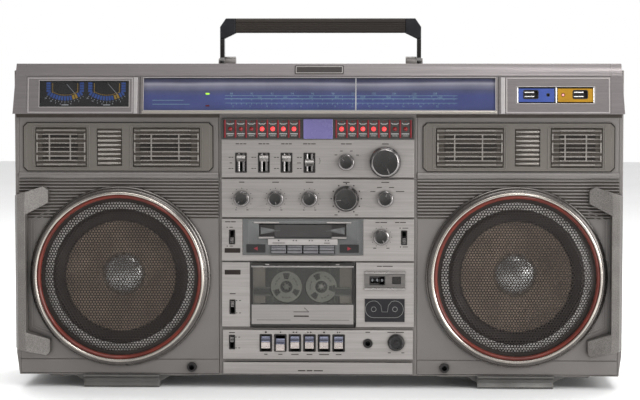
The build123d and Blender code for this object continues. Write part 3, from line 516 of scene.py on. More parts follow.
# painted glow on the lilac window
LILAC = surface("lilac_window", (0.13, 0.115, 0.27), (0.105, 0.093, 0.23), patches=40, grain=0.05, rough=0.25,
    coat=0.3, glow=0.05)
CHANNEL = surface("display_channel", (0.075, 0.072, 0.068), (0.055, 0.052, 0.05), patches=50, grain=0.12,
    metallic=0.4, rough=0.36, wear=0.4, specular=DULL)
LAMP_LIT = surface("lamp_lit", (1.0, 0.03, 0.035), (1.0, 0.06, 0.06), patches=300, grain=0.0, bump=0.0,
    rough=0.2, glow=1.5)
# painted glow: the unlit lamps emit a faint red light though they are switched off
LAMP_OFF = surface("lamp_unlit", (0.20, 0.008, 0.010), (0.12, 0.005, 0.006), patches=300, grain=0.05,
    rough=0.2, coat=0.2, glow=0.25)
LAMP_GREEN = surface("lamp_green", (0.45, 0.9, 0.05), (0.4, 0.8, 0.05), patches=300, grain=0.0, bump=0.0,
    rough=0.2, glow=1.2)
DARK_RED = surface("dark_red_bar", (0.20, 0.008, 0.014), (0.13, 0.006, 0.010), patches=200, grain=0.1,
    rough=0.3, specular=DULL)
FOOT = surface("foot_grey_plastic", (0.13, 0.125, 0.118), (0.10, 0.096, 0.09), patches=40, grain=0.12,
    metallic=0.4, rough=0.38, wear=0.4, painted_corner_shade=0.3)
HANDLE = surface("ribbed_grip", (0.036, 0.029, 0.024), (0.028, 0.023, 0.02), patches=20, stretch=(0.2, 1, 1),
    grain=0.15, bump=0.03, rough=0.48, wear=0.3, specular=DULL)
CORNER = surface("handle_corner_black", (0.016, 0.016, 0.019), (0.022, 0.022, 0.025), patches=60, grain=0.15,
    rough=0.3, wear=0.35, specular=DULL)
ARM = surface("handle_arm_dark_metal", (0.035, 0.033, 0.032), (0.026, 0.025, 0.024), patches=60, stretch=
    (1, 1, 0.2), grain=0.12, metallic=0.75, rough=0.32, wear=0.5)
SMOKE = surface("cassette_smoke_plastic", (0.062, 0.060, 0.053), (0.048, 0.046, 0.040), patches=50, grain=0.1,
    rough=0.28, wear=0.35, specular=DULL)
LABEL = surface("cassette_pink_label", (0.36, 0.30, 0.285), (0.29, 0.245, 0.23), patches=60, grain=0.12,
    bump=0.03, rough=0.6)
REEL = surface("reel_white_plastic", (0.452, 0.447, 0.423), (0.394, 0.389, 0.371), patches=60, grain=0.08,
    rough=0.35, wear=0.2)
BOARD = surface("circuit_board", (0.05, 0.16, 0.07), (0.03, 0.10, 0.05), patches=350, grain=0.25, rough=0.4)
# painted shade: a dark brown for grooves, the gaps between ribs and the gap under the visor
PAINTED_SHADE_BROWN = surface("louvre_shade_brown", (0.055, 0.045, 0.037), (0.04, 0.033, 0.027), patches=60,
    grain=0.15, rough=0.5, specular=DULL)
# painted shade: near black put where recesses, slots and grooves would be dark
PAINTED_RECESS_SHADE = surface("painted_recess_shade", (0.012, 0.010, 0.009), (0.02, 0.017, 0.015), grain=0.2, rough=0.7,
    specular=DULL)
CHROME_KEY = surface("deck_key_grey_plating", (0.17, 0.165, 0.17), (0.12, 0.116, 0.125), patches=60,
    grain=0.06, metallic=0.9, rough=0.22, wear=0.3)
GLOSS_BLACK = surface("gloss_black_window", (0.01, 0.009, 0.009), (0.015, 0.014, 0.014), grain=0.05,
    rough=0.12, coat=0.3, specular=DULL)
# painted glow on the red direction arrows
ARROW_RED = surface("arrow_red", (0.20, 0.010, 0.02), (0.15, 0.008, 0.015), grain=0.05, rough=0.3, glow=0.1)
SILL_SILVER = surface("door_sill_silver", (0.29, 0.272, 0.262), (0.25, 0.235, 0.226), patches=420,
    stretch=BRUSH, grain=0.1, grain_scale=3000, bump=0.005, metallic=0.6, rough=0.4, spread=0.04)
DOOR_DARK = surface("door_dark_gloss", (0.03, 0.028, 0.026), (0.022, 0.02, 0.019), patches=60, grain=0.1,
    rough=0.25, wear=0.4, specular=DULL)
BAY_LIGHT = surface("guide_arm_grey", (0.22, 0.22, 0.21), (0.18, 0.18, 0.17), grain=0.1, metallic=0.4,
    rough=0.35)
HUB_DARK = surface("reel_hub_dark", (0.05, 0.048, 0.045), (0.035, 0.034, 0.032), grain=0.1, rough=0.35,
    specular=DULL)
REEL_PRINT = surface("reel_grey_print", (0.19, 0.19, 0.185), (0.15, 0.15, 0.145), grain=0.1, rough=0.5)
COUNTER_GREY = surface("counter_grey", (0.133, 0.125, 0.117), (0.109, 0.101, 0.098), patches=200,
    stretch=BRUSH, grain=0.1, metallic=0.5, rough=0.36)
INDICATOR = surface("indicator_dark", (0.018, 0.017, 0.019), (0.014, 0.013, 0.015), grain=0.1, rough=0.45,
    specular=DULL)
# painted glow: the white pointer emits light though it is no lamp
POINTER_WHITE = surface("pointer_white_plastic", (0.85, 0.84, 0.80), (0.78, 0.77, 0.74), grain=0.05,
    rough=0.3, glow=0.25)
LAMP_PINK = surface("power_lamp_pink", (1.0, 0.25, 0.24), (1.0, 0.3, 0.3), grain=0.0, rough=0.2, glow=1.0)
# painted highlight: a pale silver for the lip under the dial
PALE_STRIP = surface("pale_strip", (0.40, 0.37, 0.33), (0.33, 0.305, 0.27), patches=200, stretch=BRUSH,
    grain=0.06, metallic=0.6, rough=0.28)
VISOR_BAR = surface("visor_bright_bar", (0.44, 0.42, 0.415), (0.38, 0.36, 0.355), patches=90, grain=0.06,
    metallic=0.6, rough=0.38)
BADGE = surface("badge_grey", (0.06, 0.052, 0.05), (0.045, 0.04, 0.038), patches=60, grain=0.1, metallic=0.6,
    rough=0.35)
PALE_FLOOR = surface("pale_floor", (0.9, 0.9, 0.9), (0.88, 0.88, 0.88), patches=2, grain=0.01, bump=0.0,
    rough=0.6)
PANE = glass("clear_pane", (0.97, 0.97, 0.98))
DOOR_PANE = glass("smoked_pane", (0.80, 0.80, 0.77))


# ---- the visor ----
VISOR_FOOT = (-97.0, 333.7)
VISOR_LEAN = atan2(7.0, 46.3)
HEAD = (-90.0, 380.0)
BROW = (-86.0, 394.2)


def on_visor():
    """Places a shape drawn against an upright face at Y = 0, foot at Z = 0, onto the visor's face."""
    return Matrix.Translation((0, *VISOR_FOOT)) @ Matrix.Rotation(-VISOR_LEAN, 4, "X")


def on_brow():
    """The same for the steeper strip above the visor's groove."""
    lean = atan2(BROW[0] - HEAD[0], BROW[1] - HEAD[1])
    return Matrix.Translation((0, *HEAD)) @ Matrix.Rotation(-lean, 4, "X")


DIAL = (-209.6, 213.4, 4.5, 44.0)
METER = (-335.8, -227.3, 8.6, 40.6)
METER_CENTRES = (-305.3, -254.7)
DIAL_PLATE_Y, METER_PLATE_Y = 7.0, 5.2
SCALE_X = (-112.0, 168.0)    # the printed scales, from and to
POWER = (238.5, 331.7, 13.2, 33.0)
POWER_LAMP_Z = 23.4
BAFFLE_Y, PANEL_Y = -80.0, -83.0
TAPE2_KEYS = ("tape2_stop_key", "tape2_rewind_key", "tape2_forward_key", "tape2_program_key")


def dial_scales():
    """The tuning dial: a blue scale under an upper band of painted shade and a painted pale reflection line,
    with printed lines, ticks and numbers.
    """
    x0, x1, z0, z1 = DIAL
    dial = Shape(on_visor())
    dial.box(x0 - 3, x1 + 3, DIAL_PLATE_Y, DIAL_PLATE_Y + 1.2, z0 + 0.8, z1 - 0.4)
    make("dial_face", dial, DIAL_FACE, "cabinet", replaces=["dial_and_meter_scales"])
    prints = Shape(on_visor())
    start, stop = SCALE_X
    rows = [(23.2, 0.55, 11), (19.4, 0.9, 23), (14.2, 0.5, 45), (6.0, 0.45, 15)]
    for z, width, ticks in rows:
        prints.stroke([(start, z), (stop, z)], width, DIAL_PLATE_Y)
        for i in range(ticks):
            x = start + 8 + (stop - start - 12) * i / (ticks - 1)
            prints.stroke([(x, z), (x, z - 1.9)], 0.6, DIAL_PLATE_Y)
    for i, text in enumerate(("88", "90", "92", "94", "96", "98", "100", "102", "104", "106", "108")):
        prints.numeral(text, start + 8 + 24.5 * i, 25.6, 3.6, DIAL_PLATE_Y)
    for i, text in enumerate(("530", "600", "700", "800", "1000", "1200", "1400", "1600")):
        prints.numeral(text, start + 42 + 31 * i, 21.3, 3.2, DIAL_PLATE_Y)
    for i, text in enumerate(("2", "3", "4", "5", "6", "7", "8", "10", "12", "14", "16", "18", "22")):
        prints.numeral(text, start + 10 + 20.5 * i, 10.2, 3.2, DIAL_PLATE_Y)
    prints.box(DIAL[0] + 10, DIAL[0] + 48, DIAL_PLATE_Y - 0.12, DIAL_PLATE_Y, 17.2, 17.9)
    prints.box(DIAL[0] + 10, DIAL[0] + 55, DIAL_PLATE_Y - 0.12, DIAL_PLATE_Y, 12.4, 13.1)
    make("dial_scale_prints", prints, TEAL_PRINT, "cabinet")
    for name, x, z, look in (("stereo_lamp", -132.9, 25.4, LAMP_GREEN),
            ("record_lamp", -132.9, 10.8, LAMP_OFF)):
        lamp = Shape(on_visor())
        outline = rounded(x - 2.4, x + 2.4, z - 0.9, z + 0.9, 0.7)
        lamp.prism_y(outline, DIAL_PLATE_Y - 1.2, DIAL_PLATE_Y + 0.4)
        make(name, lamp, look, "cabinet", bevel=0.3)


def meter(prints, gold, blue, x, top):
    """One level meter's printed scale round a needle that hangs from the top edge."""
    y = METER_PLATE_Y
    for side in (-1, 1):
        for i in range(5):
            z = top - 1.4 - 2.4 * i
            gold.stroke([(x + side * 15.2, z), (x + side * 15.2, z - 1.6)], 0.8, y)
        for i in range(4):
            z0 = top - 3.1 * i
            blue.box(x + side * 20.2 - 2.5, x + side * 20.2 + 2.5, y - 0.12, y, z0 - 2.5, z0)
    centre_z, steps = top + 14.0, 13
    for i in range(steps):
        angle = -128 + 76 * (i + 0.5) / steps
        band = gold if i in (9, 10) else blue
        band.stroke(arc(x, centre_z, 33.6, angle - 2.15, angle + 2.15, 2), 5.2, y)
        gold.stroke(arc(x, centre_z, 29.6, -119 + 4.83 * i - 1.5, -119 + 4.83 * i + 1.5, 2), 0.7, y)
        tick = [arc(x, centre_z, r, angle, angle, 1)[0] for r in (37.4, 38.6)]
        prints.stroke(tick, 0.5, y)
    for text, angle in (("20", -125), ("10", -115), ("7", -106), ("5", -98), ("3", -90), ("0", -80),
            ("3", -66)):
        at = arc(x, centre_z, 40.8, angle, angle, 1)[0]
        prints.numeral(text, at[0], at[1], 2.5, y)


def level_meters():
    """The black meter plate with both printed scales and the two needles."""
    x0, x1, z0, z1 = METER
    y = METER_PLATE_Y
    plate = Shape(on_visor())
    plate.box(x0 - 3, x1 + 3, y, y + 1.2, z0 + 0.6, z1 - 0.6)
    plate.look = 1
    for wall in ((x0, x0 + 1.2, z0, z1), (x1 - 1.2, x1, z0, z1), (x0, x1, z0, z0 + 0.9),
            (x0, x1, z1 - 0.9, z1)):
        plate.box(wall[0], wall[1], 2.9, y + 0.2, wall[2], wall[3])
    make("meter_plate", plate, [METER_BLACK, SATIN_BLACK], "cabinet")
    prints, gold, blue = Shape(on_visor()), Shape(on_visor()), Shape(on_visor())
    for x in METER_CENTRES:
        meter(prints, gold, blue, x, z1 - 1.5)
    for x in METER_CENTRES:
        prints.box(x - 4.2, x + 4.2, y - 0.1, y, z0 + 2.6, z0 + 3.5)
    make("meter_white_prints", prints, PALE_PRINT, "cabinet")
    make("meter_gold_prints", gold, GOLD_PRINT, "cabinet")
    make("meter_blue_prints", blue, METER_BLUE, "cabinet")
    needles = Shape(on_visor())
    for x in METER_CENTRES:
        top = z1 - 1.5
        swing = radians(41)
        needles.stroke([(x, top), (x + 19 * sin(swing), top - 19 * cos(swing))], 0.4, y - 0.5, 0.3)
        needles.look = 1
        needles.lathe(x, top - 0.4, [(0, y - 1.4), (2.2, y - 1.2), (2.6, y - 0.4), (2.6, y)], 24)
        needles.look = 0
    make("meter_needles", needles, [PALE_PRINT, SATIN_BLACK], "cabinet")


def pointer():
    """The white tuning pointer, a slim bar with a pointed front edge, its white given a painted glow."""
    x, _ = middle("dial_pointer")
    bar = Shape(on_visor())
    section = [(x - 0.7, 5.2), (x - 0.7, 4.6), (x, 4.1), (x + 0.7, 4.6), (x + 0.7, 5.2)]
    bar.prism_z(section, DIAL[2], DIAL[3] + 0.4)
    make("tuning_pointer", bar, POINTER_WHITE, "dial_pointer", replaces=["dial_pointer"],
        bevel=0.12)


def power_panel():
    """Coloured faces of the security and power plates, their chrome posts, sliders and lamp."""
    plates = (("security_plate_face", 240.8, 283.8, "security_switch", 276.4, POWER_BLUE),
        ("power_plate_face", 287.7, 329.7, "power_switch", 294.2, POWER_GOLD))
    for name, x0, x1, switch, lamp_x, look in plates:
        slot_x = middle(switch)[0] + 2.0
        face = Shape(on_visor())
        slot = (slot_x - 8.6, slot_x + 8.6, 19.1, 28.8)
        hole = (lamp_x - 1.6, lamp_x + 1.6, 21.8, 25.0)
        face.plate(x0 + 0.1, x1 - 0.1, 14.8, 31.1, 0.45, 0.78, [slot, hole])
        make(name, face, look, "cabinet", bevel=0.12)
        trim = Shape(on_visor())
        outer = rounded(slot_x - 9.2, slot_x + 9.2, 18.4, 29.4, 2.0)
        inner = rounded(slot_x - 8.3, slot_x + 8.3, 19.3, 28.5, 1.4)
        trim.ring(outer, inner, 0.1, 2.6)
        trim.box(slot_x - 8.5, slot_x + 8.5, 4.9, 5.5, 19.2, 28.6)
        trim.ring(circle_outline(lamp_x, POWER_LAMP_Z, 2.1), circle_outline(lamp_x, POWER_LAMP_Z, 1.4), 0.2,
            2.4)
        make(name.replace("face", "slot_trim"), trim, SATIN_BLACK, "cabinet")
        x = middle(switch)[0]
        slider = Shape(on_visor())
        slider.box(x - 6.1, x + 6.1, 1.9, 4.6, 20.0, 27.8)
        slider.look = 1
        for z in (21.4, 26.4):
            slider.prism_x([(2.2, z - 0.8), (-0.6, z - 0.7), (-1.2, z), (-0.6, z + 0.7), (2.2, z + 0.8)],
                x - 5.8, x + 5.8)
        make(switch + "_slider", slider, [SATIN_BLACK, CHROME], switch, replaces=[switch],
            bevel=0.2)
    posts = Shape(on_visor())
    for x, half in ((239.9, 1.0), (285.8, 1.6), (330.8, 1.0)):
        section = [(x + half * cos(a), 1.6 - 2.0 * sin(a)) for a in (pi * i / 8 for i in range(9))]
        posts.prism_z([*section, (x - half, 2.8), (x + half, 2.8)], 14.0, 32.2)
    make("power_panel_posts", posts, CHROME, "cabinet")
    # painted shade: a near-black backing darkens the recess behind the plates
    backing = Shape(on_visor())
    backing.box(238.7, 331.5, 5.6, 6.0, 13.4, 32.8)
    make("power_panel_backing", backing, PAINTED_RECESS_SHADE, "cabinet")
    lamp = Shape(on_visor())
    lamp.lathe(294.2, POWER_LAMP_Z, [(0, 0.3), (1.0, 0.5), (1.5, 1.2), (1.5, 3.4)], 24)
    make("power_lamp", lamp, LAMP_PINK, "cabinet")


def visor_trim():
    """Lips round the visor's windows and a strip under the dial, both real, in silvers brighter than the
    visor's that paint the highlights along them, and a plain badge.
    """
    trim = Shape(on_visor())
    for x0, x1, z0, z1 in (DIAL, METER, POWER):
        outer = rounded(x0 - 0.8, x1 + 0.8, z0 - 0.8, z1 + 0.8, 0.9)
        inner = rounded(x0 + 0.1, x1 - 0.1, z0 + 0.1, z1 - 0.1, 0.4)
        trim.ring(outer, inner, -0.25, 0.6)
    for x0, x1 in ((-350.0, -222.6), (226.0, 350.0)):
        trim.ring(rounded(x0, x1, 1.2, 44.2, 0.6), rounded(x0 + 1.5, x1 - 1.5, 2.7, 42.7, 0.4), -0.35, 0.4)
    make("visor_window_lips", trim, VISOR_EDGE, "cabinet", bevel=0.15)
    strip = Shape(on_visor())
    strip.prism_x([(0.4, 0.4), (-0.5, 0.8), (-0.7, 2.2), (-0.5, 3.4), (0.4, 3.8)], DIAL[0] - 2, DIAL[1] + 2)
    make("visor_lower_strip", strip, PALE_STRIP, "cabinet", bevel=0.15)
    bars = Shape(on_visor())
    for x in (-219.4, 222.2):
        bars.prism_z([(x - 2.6, 0.4), (x - 2.2, -0.5), (x + 2.2, -0.5), (x + 2.6, 0.4)], 0.6, 44.4)
    make("visor_upright_bars", bars, VISOR_BAR, "cabinet", bevel=0.3)
    badge = Shape(on_brow())
    badge.prism_y(rounded(-27.4, 31.4, 1.6, 12.2, 0.8), -0.7, 0.2)
    badge.look = 1
    badge.ring(rounded(-26.2, 30.2, 2.6, 11.2, 0.6), rounded(-25.4, 29.4, 3.4, 10.4, 0.5), -1.0, -0.6)
    make("badge_plate", badge, [BADGE, STRIP], "cabinet", bevel=0.15)


# ---- lamps under the visor ----
CHANNEL_X, CHANNEL_Z = 116.5, (302.9, 328.2)
LAMP_BED_Y = -81.8
LAMP_Z, LAMP_START, LAMP_PITCH, LAMPS = 315.4, 28.8, 12.85, 7
LIT = {-1: range(0, 4), 1: range(0, 5)}


def lamp_display():
    """Two rows of level lamps, each in its own cell with a chrome bracket, either side of a lilac window."""
    z0, z1 = CHANNEL_Z
    housing = Shape()
    outer = rounded(-CHANNEL_X, CHANNEL_X, z0, z1, 1.5)
    inner = rounded(-CHANNEL_X + 1.6, CHANNEL_X - 1.6, z0 + 1.6, z1 - 1.6, 1.0)
    housing.ring(outer, inner, -84.0, BAFFLE_Y)
    housing.box(-CHANNEL_X + 1.4, CHANNEL_X - 1.4, LAMP_BED_Y, BAFFLE_Y, z0 + 1.4, z1 - 1.4)
    make("lamp_channel", housing, CHANNEL, "cabinet", replaces=["led_display"], bevel=0.3)
    bars, chrome, off, lit = Shape(), Shape(), Shape(), Shape()
    for side in (-1, 1):
        for i in range(LAMPS + 1):
            x = side * (LAMP_START + LAMP_PITCH * (i - 0.5))
            bars.prism_z([(x - 1.0, LAMP_BED_Y), (x - 1.0, -82.9), (x, -83.3), (x + 1.0, -82.9),
                (x + 1.0, LAMP_BED_Y)], z0 + 1.9, z1 - 1.9)
        for i in range(LAMPS):
            x = side * (LAMP_START + LAMP_PITCH * i)
            chrome.stroke([(x - 4.4, LAMP_Z + 7.2), (x - 2.6, LAMP_Z + 5.9), (x + 2.6, LAMP_Z + 5.9),
                (x + 4.4, LAMP_Z + 7.2)], 1.1, LAMP_BED_Y, 0.9)
            chrome.box(x - 4.6, x + 4.6, -82.8, LAMP_BED_Y, LAMP_Z - 6.5, LAMP_Z - 5.2)
            chrome.box(x - 3.4, x + 3.4, -82.4, LAMP_BED_Y, LAMP_Z - 8.6, LAMP_Z - 7.9)
            off.lathe(x, LAMP_Z + 9.0, [(0, -82.6), (0.6, -82.4), (0.8, -81.7)], 12)
            lamp = lit if i in LIT[side] else off
            lamp.lathe(x, LAMP_Z, [(0, -83.9), (1.2, -83.7), (2.2, -83.1), (2.6, -82.2), (2.6, -81.6)], 28)
    make("lamp_separators", bars, DARK_RED, "cabinet")
    make("lamp_brackets", chrome, CHROME, "cabinet")
    make("level_lamps_off", off, LAMP_OFF, "cabinet")
    make("level_lamps_lit", lit, LAMP_LIT, "cabinet")
    window = Shape()
    face = rounded(-17.4, 18.2, z0 + 0.5, z1 - 0.5, 1.2)
    window.prism_y(face, -85.0, -81.0)
    make("lilac_window", window, LILAC, "cabinet", bevel=0.7, steps=3)


# ---- rotary knobs ----
KNOB_ANGLES = {                      # where each pointer mark stands, clockwise from the top in degrees
    "band_select_knob": -45, "tuning_knob": 160, "bass_knob": -140, "treble_knob": 170, "balance_knob": 0,
    "volume_knob": -98, "function_knob": 14, "record_level_knob": 150, "monitor_level_knob": 120,
}
BIG_KNOBS = ("tuning_knob", "volume_knob")


def knob(name):
    """A fluted cap on a dark skirt, with a chrome shoulder, a dished top and a pointer mark."""
    x, z = middle(name)
    x0, x1, front, back, _, _ = span(name)
    r = (x1 - x0) / 2
    seat = PANEL_Y - 0.7
    inner = 0.885 if name in BIG_KNOBS else 0.82
    steps = 144 if name in BIG_KNOBS else 96
    cap = Shape()
    cap.lathe(x, z, [(0, back), (3.0, back), (3.0, seat), (r, seat), (r, seat - 1.5), (r * 0.97, seat - 1.9)],
        steps)
    cap.lathe(x, z, [(r * inner, seat - 1.8), (r * inner, seat - 3.0), (r * (inner - 0.012), front + 1.3)],
        steps, ripples=steps // 3, depth=0.28)
    cap.look = 3
    cap.lathe(x, z, [(r * 0.97, seat - 1.8), (r * 0.955, seat - 2.4), (r * (inner + 0.03), seat - 2.9),
        (r * (inner - 0.02), seat - 2.8), (r * (inner - 0.02), seat - 1.8)], steps, closed=True)
    cap.lathe(x, z, [(r * (inner - 0.005), front + 1.4), (r * (inner - 0.01), front + 0.7),
        (r * (inner - 0.05), front + 0.05), (r * (inner - 0.09), front), (r * (inner - 0.10), front + 1.4)],
        steps, closed=True)
    cap.look = 2
    top = r * (inner - 0.09)
    cap.lathe(x, z, [(0, front + 0.55), (top * 0.4, front + 0.5), (top * 0.8, front + 0.3),
        (top, front + 0.12), (top, front + 1.4)], steps)
    cap.look = 1
    angle = radians(KNOB_ANGLES[name])
    mark = [(x + top * k * sin(angle), z + top * k * cos(angle)) for k in (0.5, 0.93)]
    cap.stroke(mark, 0.9 if name != "tuning_knob" else 1.4, front + 0.3, 0.28)
    make(name + "_cap", cap, [KNOB, DARK_CHROME, KNOB_TOP, DARK_CHROME], name, replaces=[name])


def monitor_knob(name):
    """A low knob: a fluted ring round a black well with a small boss."""
    x, z = middle(name)
    x0, x1, front, back, _, _ = span(name)
    r = (x1 - x0) / 2
    seat = PANEL_Y - 0.7
    cap = Shape()
    cap.lathe(x, z, [(0, back), (3.0, back), (3.0, seat), (r * 0.9, seat), (r * 0.9, seat - 2.0),
        (0, seat - 2.0)], 72)
    cap.lathe(x, z, [(r, seat - 0.1), (r, seat - 2.4), (r * 0.93, seat - 3.4), (r * 0.78, front + 0.2),
        (r * 0.70, front + 0.6), (r * 0.66, seat - 1.9), (r * 0.66, seat - 0.1)], 120, closed=True,
        ripples=40, depth=0.3)
    cap.look = 1
    cap.lathe(x, z, [(r * 0.25, seat - 1.9), (r * 0.25, front + 1.4), (r * 0.18, front + 1.0),
        (0, front + 1.0)], 40)
    make(name + "_cap", cap, [KNOB, SATIN_BLACK], name, replaces=[name])


def knobs():
    for name in KNOB_ANGLES:
        if name == "monitor_level_knob":
            monitor_knob(name)
        else:
            knob(name)


# ---- slide switches ----
LEVER_WINDOW = (13.6, 23.6)
LEVER_Z = 274.6
LEVERS = ("tape2_type_switch", "tape1_type_switch", "loudness_switch", "stereo_mode_switch")
SLIDE_CENTRES = {"dubbing_switch": 184.4, "record_mode_switch": 183.9, "noise_reduction_switch": 99.3,
    "microphone_mix_switch": 56.2}


def levers():
    """Chrome caps that ride up and down in black-framed windows, over a slit between two tracks."""
    half_x, half_z = LEVER_WINDOW[0] / 2, LEVER_WINDOW[1] / 2
    frames, tracks = Shape(), Shape()
    for name in LEVERS:
        x, z = middle(name)
        outer = rounded(x - half_x - 0.3, x + half_x + 0.3, LEVER_Z - half_z - 0.3, LEVER_Z + half_z + 0.3,
            0.8)
        inner = rounded(x - half_x + 1.0, x + half_x - 1.0, LEVER_Z - half_z + 1.0, LEVER_Z + half_z - 1.0,
            0.5)
        frames.ring(outer, inner, PANEL_Y - 0.35, -79.0)
        frames.box(x - half_x + 0.5, x - 1.2, -78.6, -78.0, LEVER_Z - half_z + 0.5, LEVER_Z + half_z - 0.5)
        frames.box(x + 1.2, x + half_x - 0.5, -78.6, -78.0, LEVER_Z - half_z + 0.5, LEVER_Z + half_z - 0.5)
        for side in (-1, 1):
            a, b = x + side * 1.2, x + side * (half_x - 1.1)
            centre, half = (a + b) / 2, abs(b - a) / 2
            bulge = [(centre + half * cos(t), -79.0 - 1.3 * sin(t)) for t in (pi * i / 8 for i in range(9))]
            tracks.prism_z([*bulge, (centre - half, -78.7), (centre + half, -78.7)], LEVER_Z - half_z + 1.1,
                LEVER_Z + half_z - 1.1)
        cap = Shape()
        outline = [(-80.9, 4.2), (-82.8, 4.2), (-85.6, 1.4), (-86.0, 0.7), (-86.0, -0.5), (-85.4, -1.1),
            (-83.0, -4.2), (-80.9, -4.2)]
        cap.prism_x([(y, z + up) for y, up in outline], x - 5.3, x + 5.3)
        cap.box(x - 0.9, x + 0.9, -81.5, -68, z - 2, z + 2)
        make(name + "_cap", cap, LEVER_METAL, name, replaces=[name], bevel=0.25)
    make("lever_window_frames", frames, SATIN_BLACK, "cabinet")
    make("lever_tracks", tracks, DARK_CHROME, "cabinet")


def slides():
    """Small ridged chrome nubs in black-framed slots."""
    frames = Shape()
    for name, z_slot in SLIDE_CENTRES.items():
        x, z = middle(name)
        outer = rounded(x - 3.7, x + 3.7, z_slot - 8.9, z_slot + 8.9, 0.9)
        inner = rounded(x - 2.3, x + 2.3, z_slot - 7.6, z_slot + 7.6, 0.5)
        frames.ring(outer, inner, PANEL_Y - 0.4, -79.5)
        nub = Shape()
        nub.box(x - 3.8, x + 3.8, -76.4, -73.0, z - 5, z + 5)
        nub.look = 1
        teeth = [(-76.2, -3.4), (-84.6, -3.4)]
        for i in range(4):
            low = -3.4 + 1.7 * i
            teeth += [(-85.2, low + 0.35), (-85.2, low + 1.1), (-84.5, low + 1.5)]
        teeth += [(-84.6, 3.4), (-76.2, 3.4)]
        nub.prism_x([(y, z + up) for y, up in teeth], x - 2.0, x + 2.0)
        make(name + "_nub", nub, [SATIN_BLACK, DARK_CHROME], name, replaces=[name])
    make("slide_slot_frames", frames, SATIN_BLACK, "cabinet")


# ---- deck keys ----
KEY_WINDOW = (44.8, 66.0)
KEY_NAMES = ("record_key", "play_key", "rewind_key", "fast_forward_key", "stop_eject_key", "pause_key")
KEY_PIVOT = (-40.0, 57.0)
KEY_TRAVEL = 3.4


def pressed():
    """Turns a key about its pivot into its latched place."""
    about = Matrix.Translation((0, *KEY_PIVOT))
    return about @ Matrix.Rotation(radians(KEY_TRAVEL), 4, "X") @ about.inverted()


def deck_keys():
    """Plated piano keys: a blue-grey upper facet, its colour a painted reflection, above a paler lower one,
    with a bright lip.
    """
    liners = Shape()
    for name in KEY_NAMES:
        x, _ = middle(name)
        x0, x1, _, _, _, _ = span(name)
        half = (x1 - x0) / 2 - 1.4
        key = Shape(pressed() if name == "play_key" else None)
        lower = [(-70, 48.9), (-87.6, 48.9), (-88.0, 49.4), (-88.0, 50.9), (-87.2, 51.6), (-87.5, 56.0),
            (-86.6, 56.8), (-70, 56.8)]
        upper = [(-70, 56.8), (-86.6, 56.8), (-85.7, 58.0), (-85.3, 60.0), (-85.4, 62.4), (-84.6, 63.4),
            (-70, 63.4)]
        key.prism_x(lower, x - half, x + half)
        key.box(x - 2.9, x + 2.9, -70.5, KEY_PIVOT[0], 54.2, 59.8)
        key.look = 1
        key.prism_x(upper, x - half, x + half)
        make(name + "_top", key, [KEY_LOWER, KEY_UPPER_PAINTED_REFLECTION], name, replaces=[name], bevel=0.25)
        low, high = KEY_WINDOW
        outer = rounded(x - 7.6, x + 7.6, low - 0.1, high + 0.1, 1.2)
        inner = rounded(x - half - 0.4, x + half + 0.4, low + 0.6, high - 1.4, 0.4)
        liners.ring(outer, inner, PANEL_Y - 0.45, -79.4)
    make("key_window_liners", liners, SATIN_BLACK, "cabinet", bevel=0.15)


def tape2_keys():
    """Four wide plated keys under the upper deck's slot."""
    for name in TAPE2_KEYS:
        x0, x1, front, back, z0, z1 = span(name)
        key = Shape()
        outline = [(back, z0), (front + 1.6, z0), (front + 0.5, z0 + 0.6), (front, z0 + 2.0),
            (front, z0 + 4.4), (front + 0.5, z0 + 5.8), (front + 1.5, z1 - 3.0), (front + 1.7, z1 - 0.8),
            (front + 2.4, z1), (back, z1)]
        key.prism_x(outline, x0 + 0.1, x1 - 0.1)
        make(name + "_top", key, CHROME_KEY, name, replaces=[name], bevel=0.35)


# ---- upper deck ----
TAPE2_BAY = (-90.8, 54.6, 162.7, 206.3)
FUNNEL = (-84.0, 48.6, 176.0, 204.0)
MOUTH = (-71.3, 34.4, 183.5, 200.4)
KEY_BED = (-57.0, 20.7, 163.9, 174.4)
STRIP_BOX = (-60.4, 23.9, 174.9, 181.9)
STRIP_Y = -83.2


def corners(box, y):
    x0, x1, z0, z1 = box
    return [(x0, y, z0), (x1, y, z0), (x1, y, z1), (x0, y, z1)]


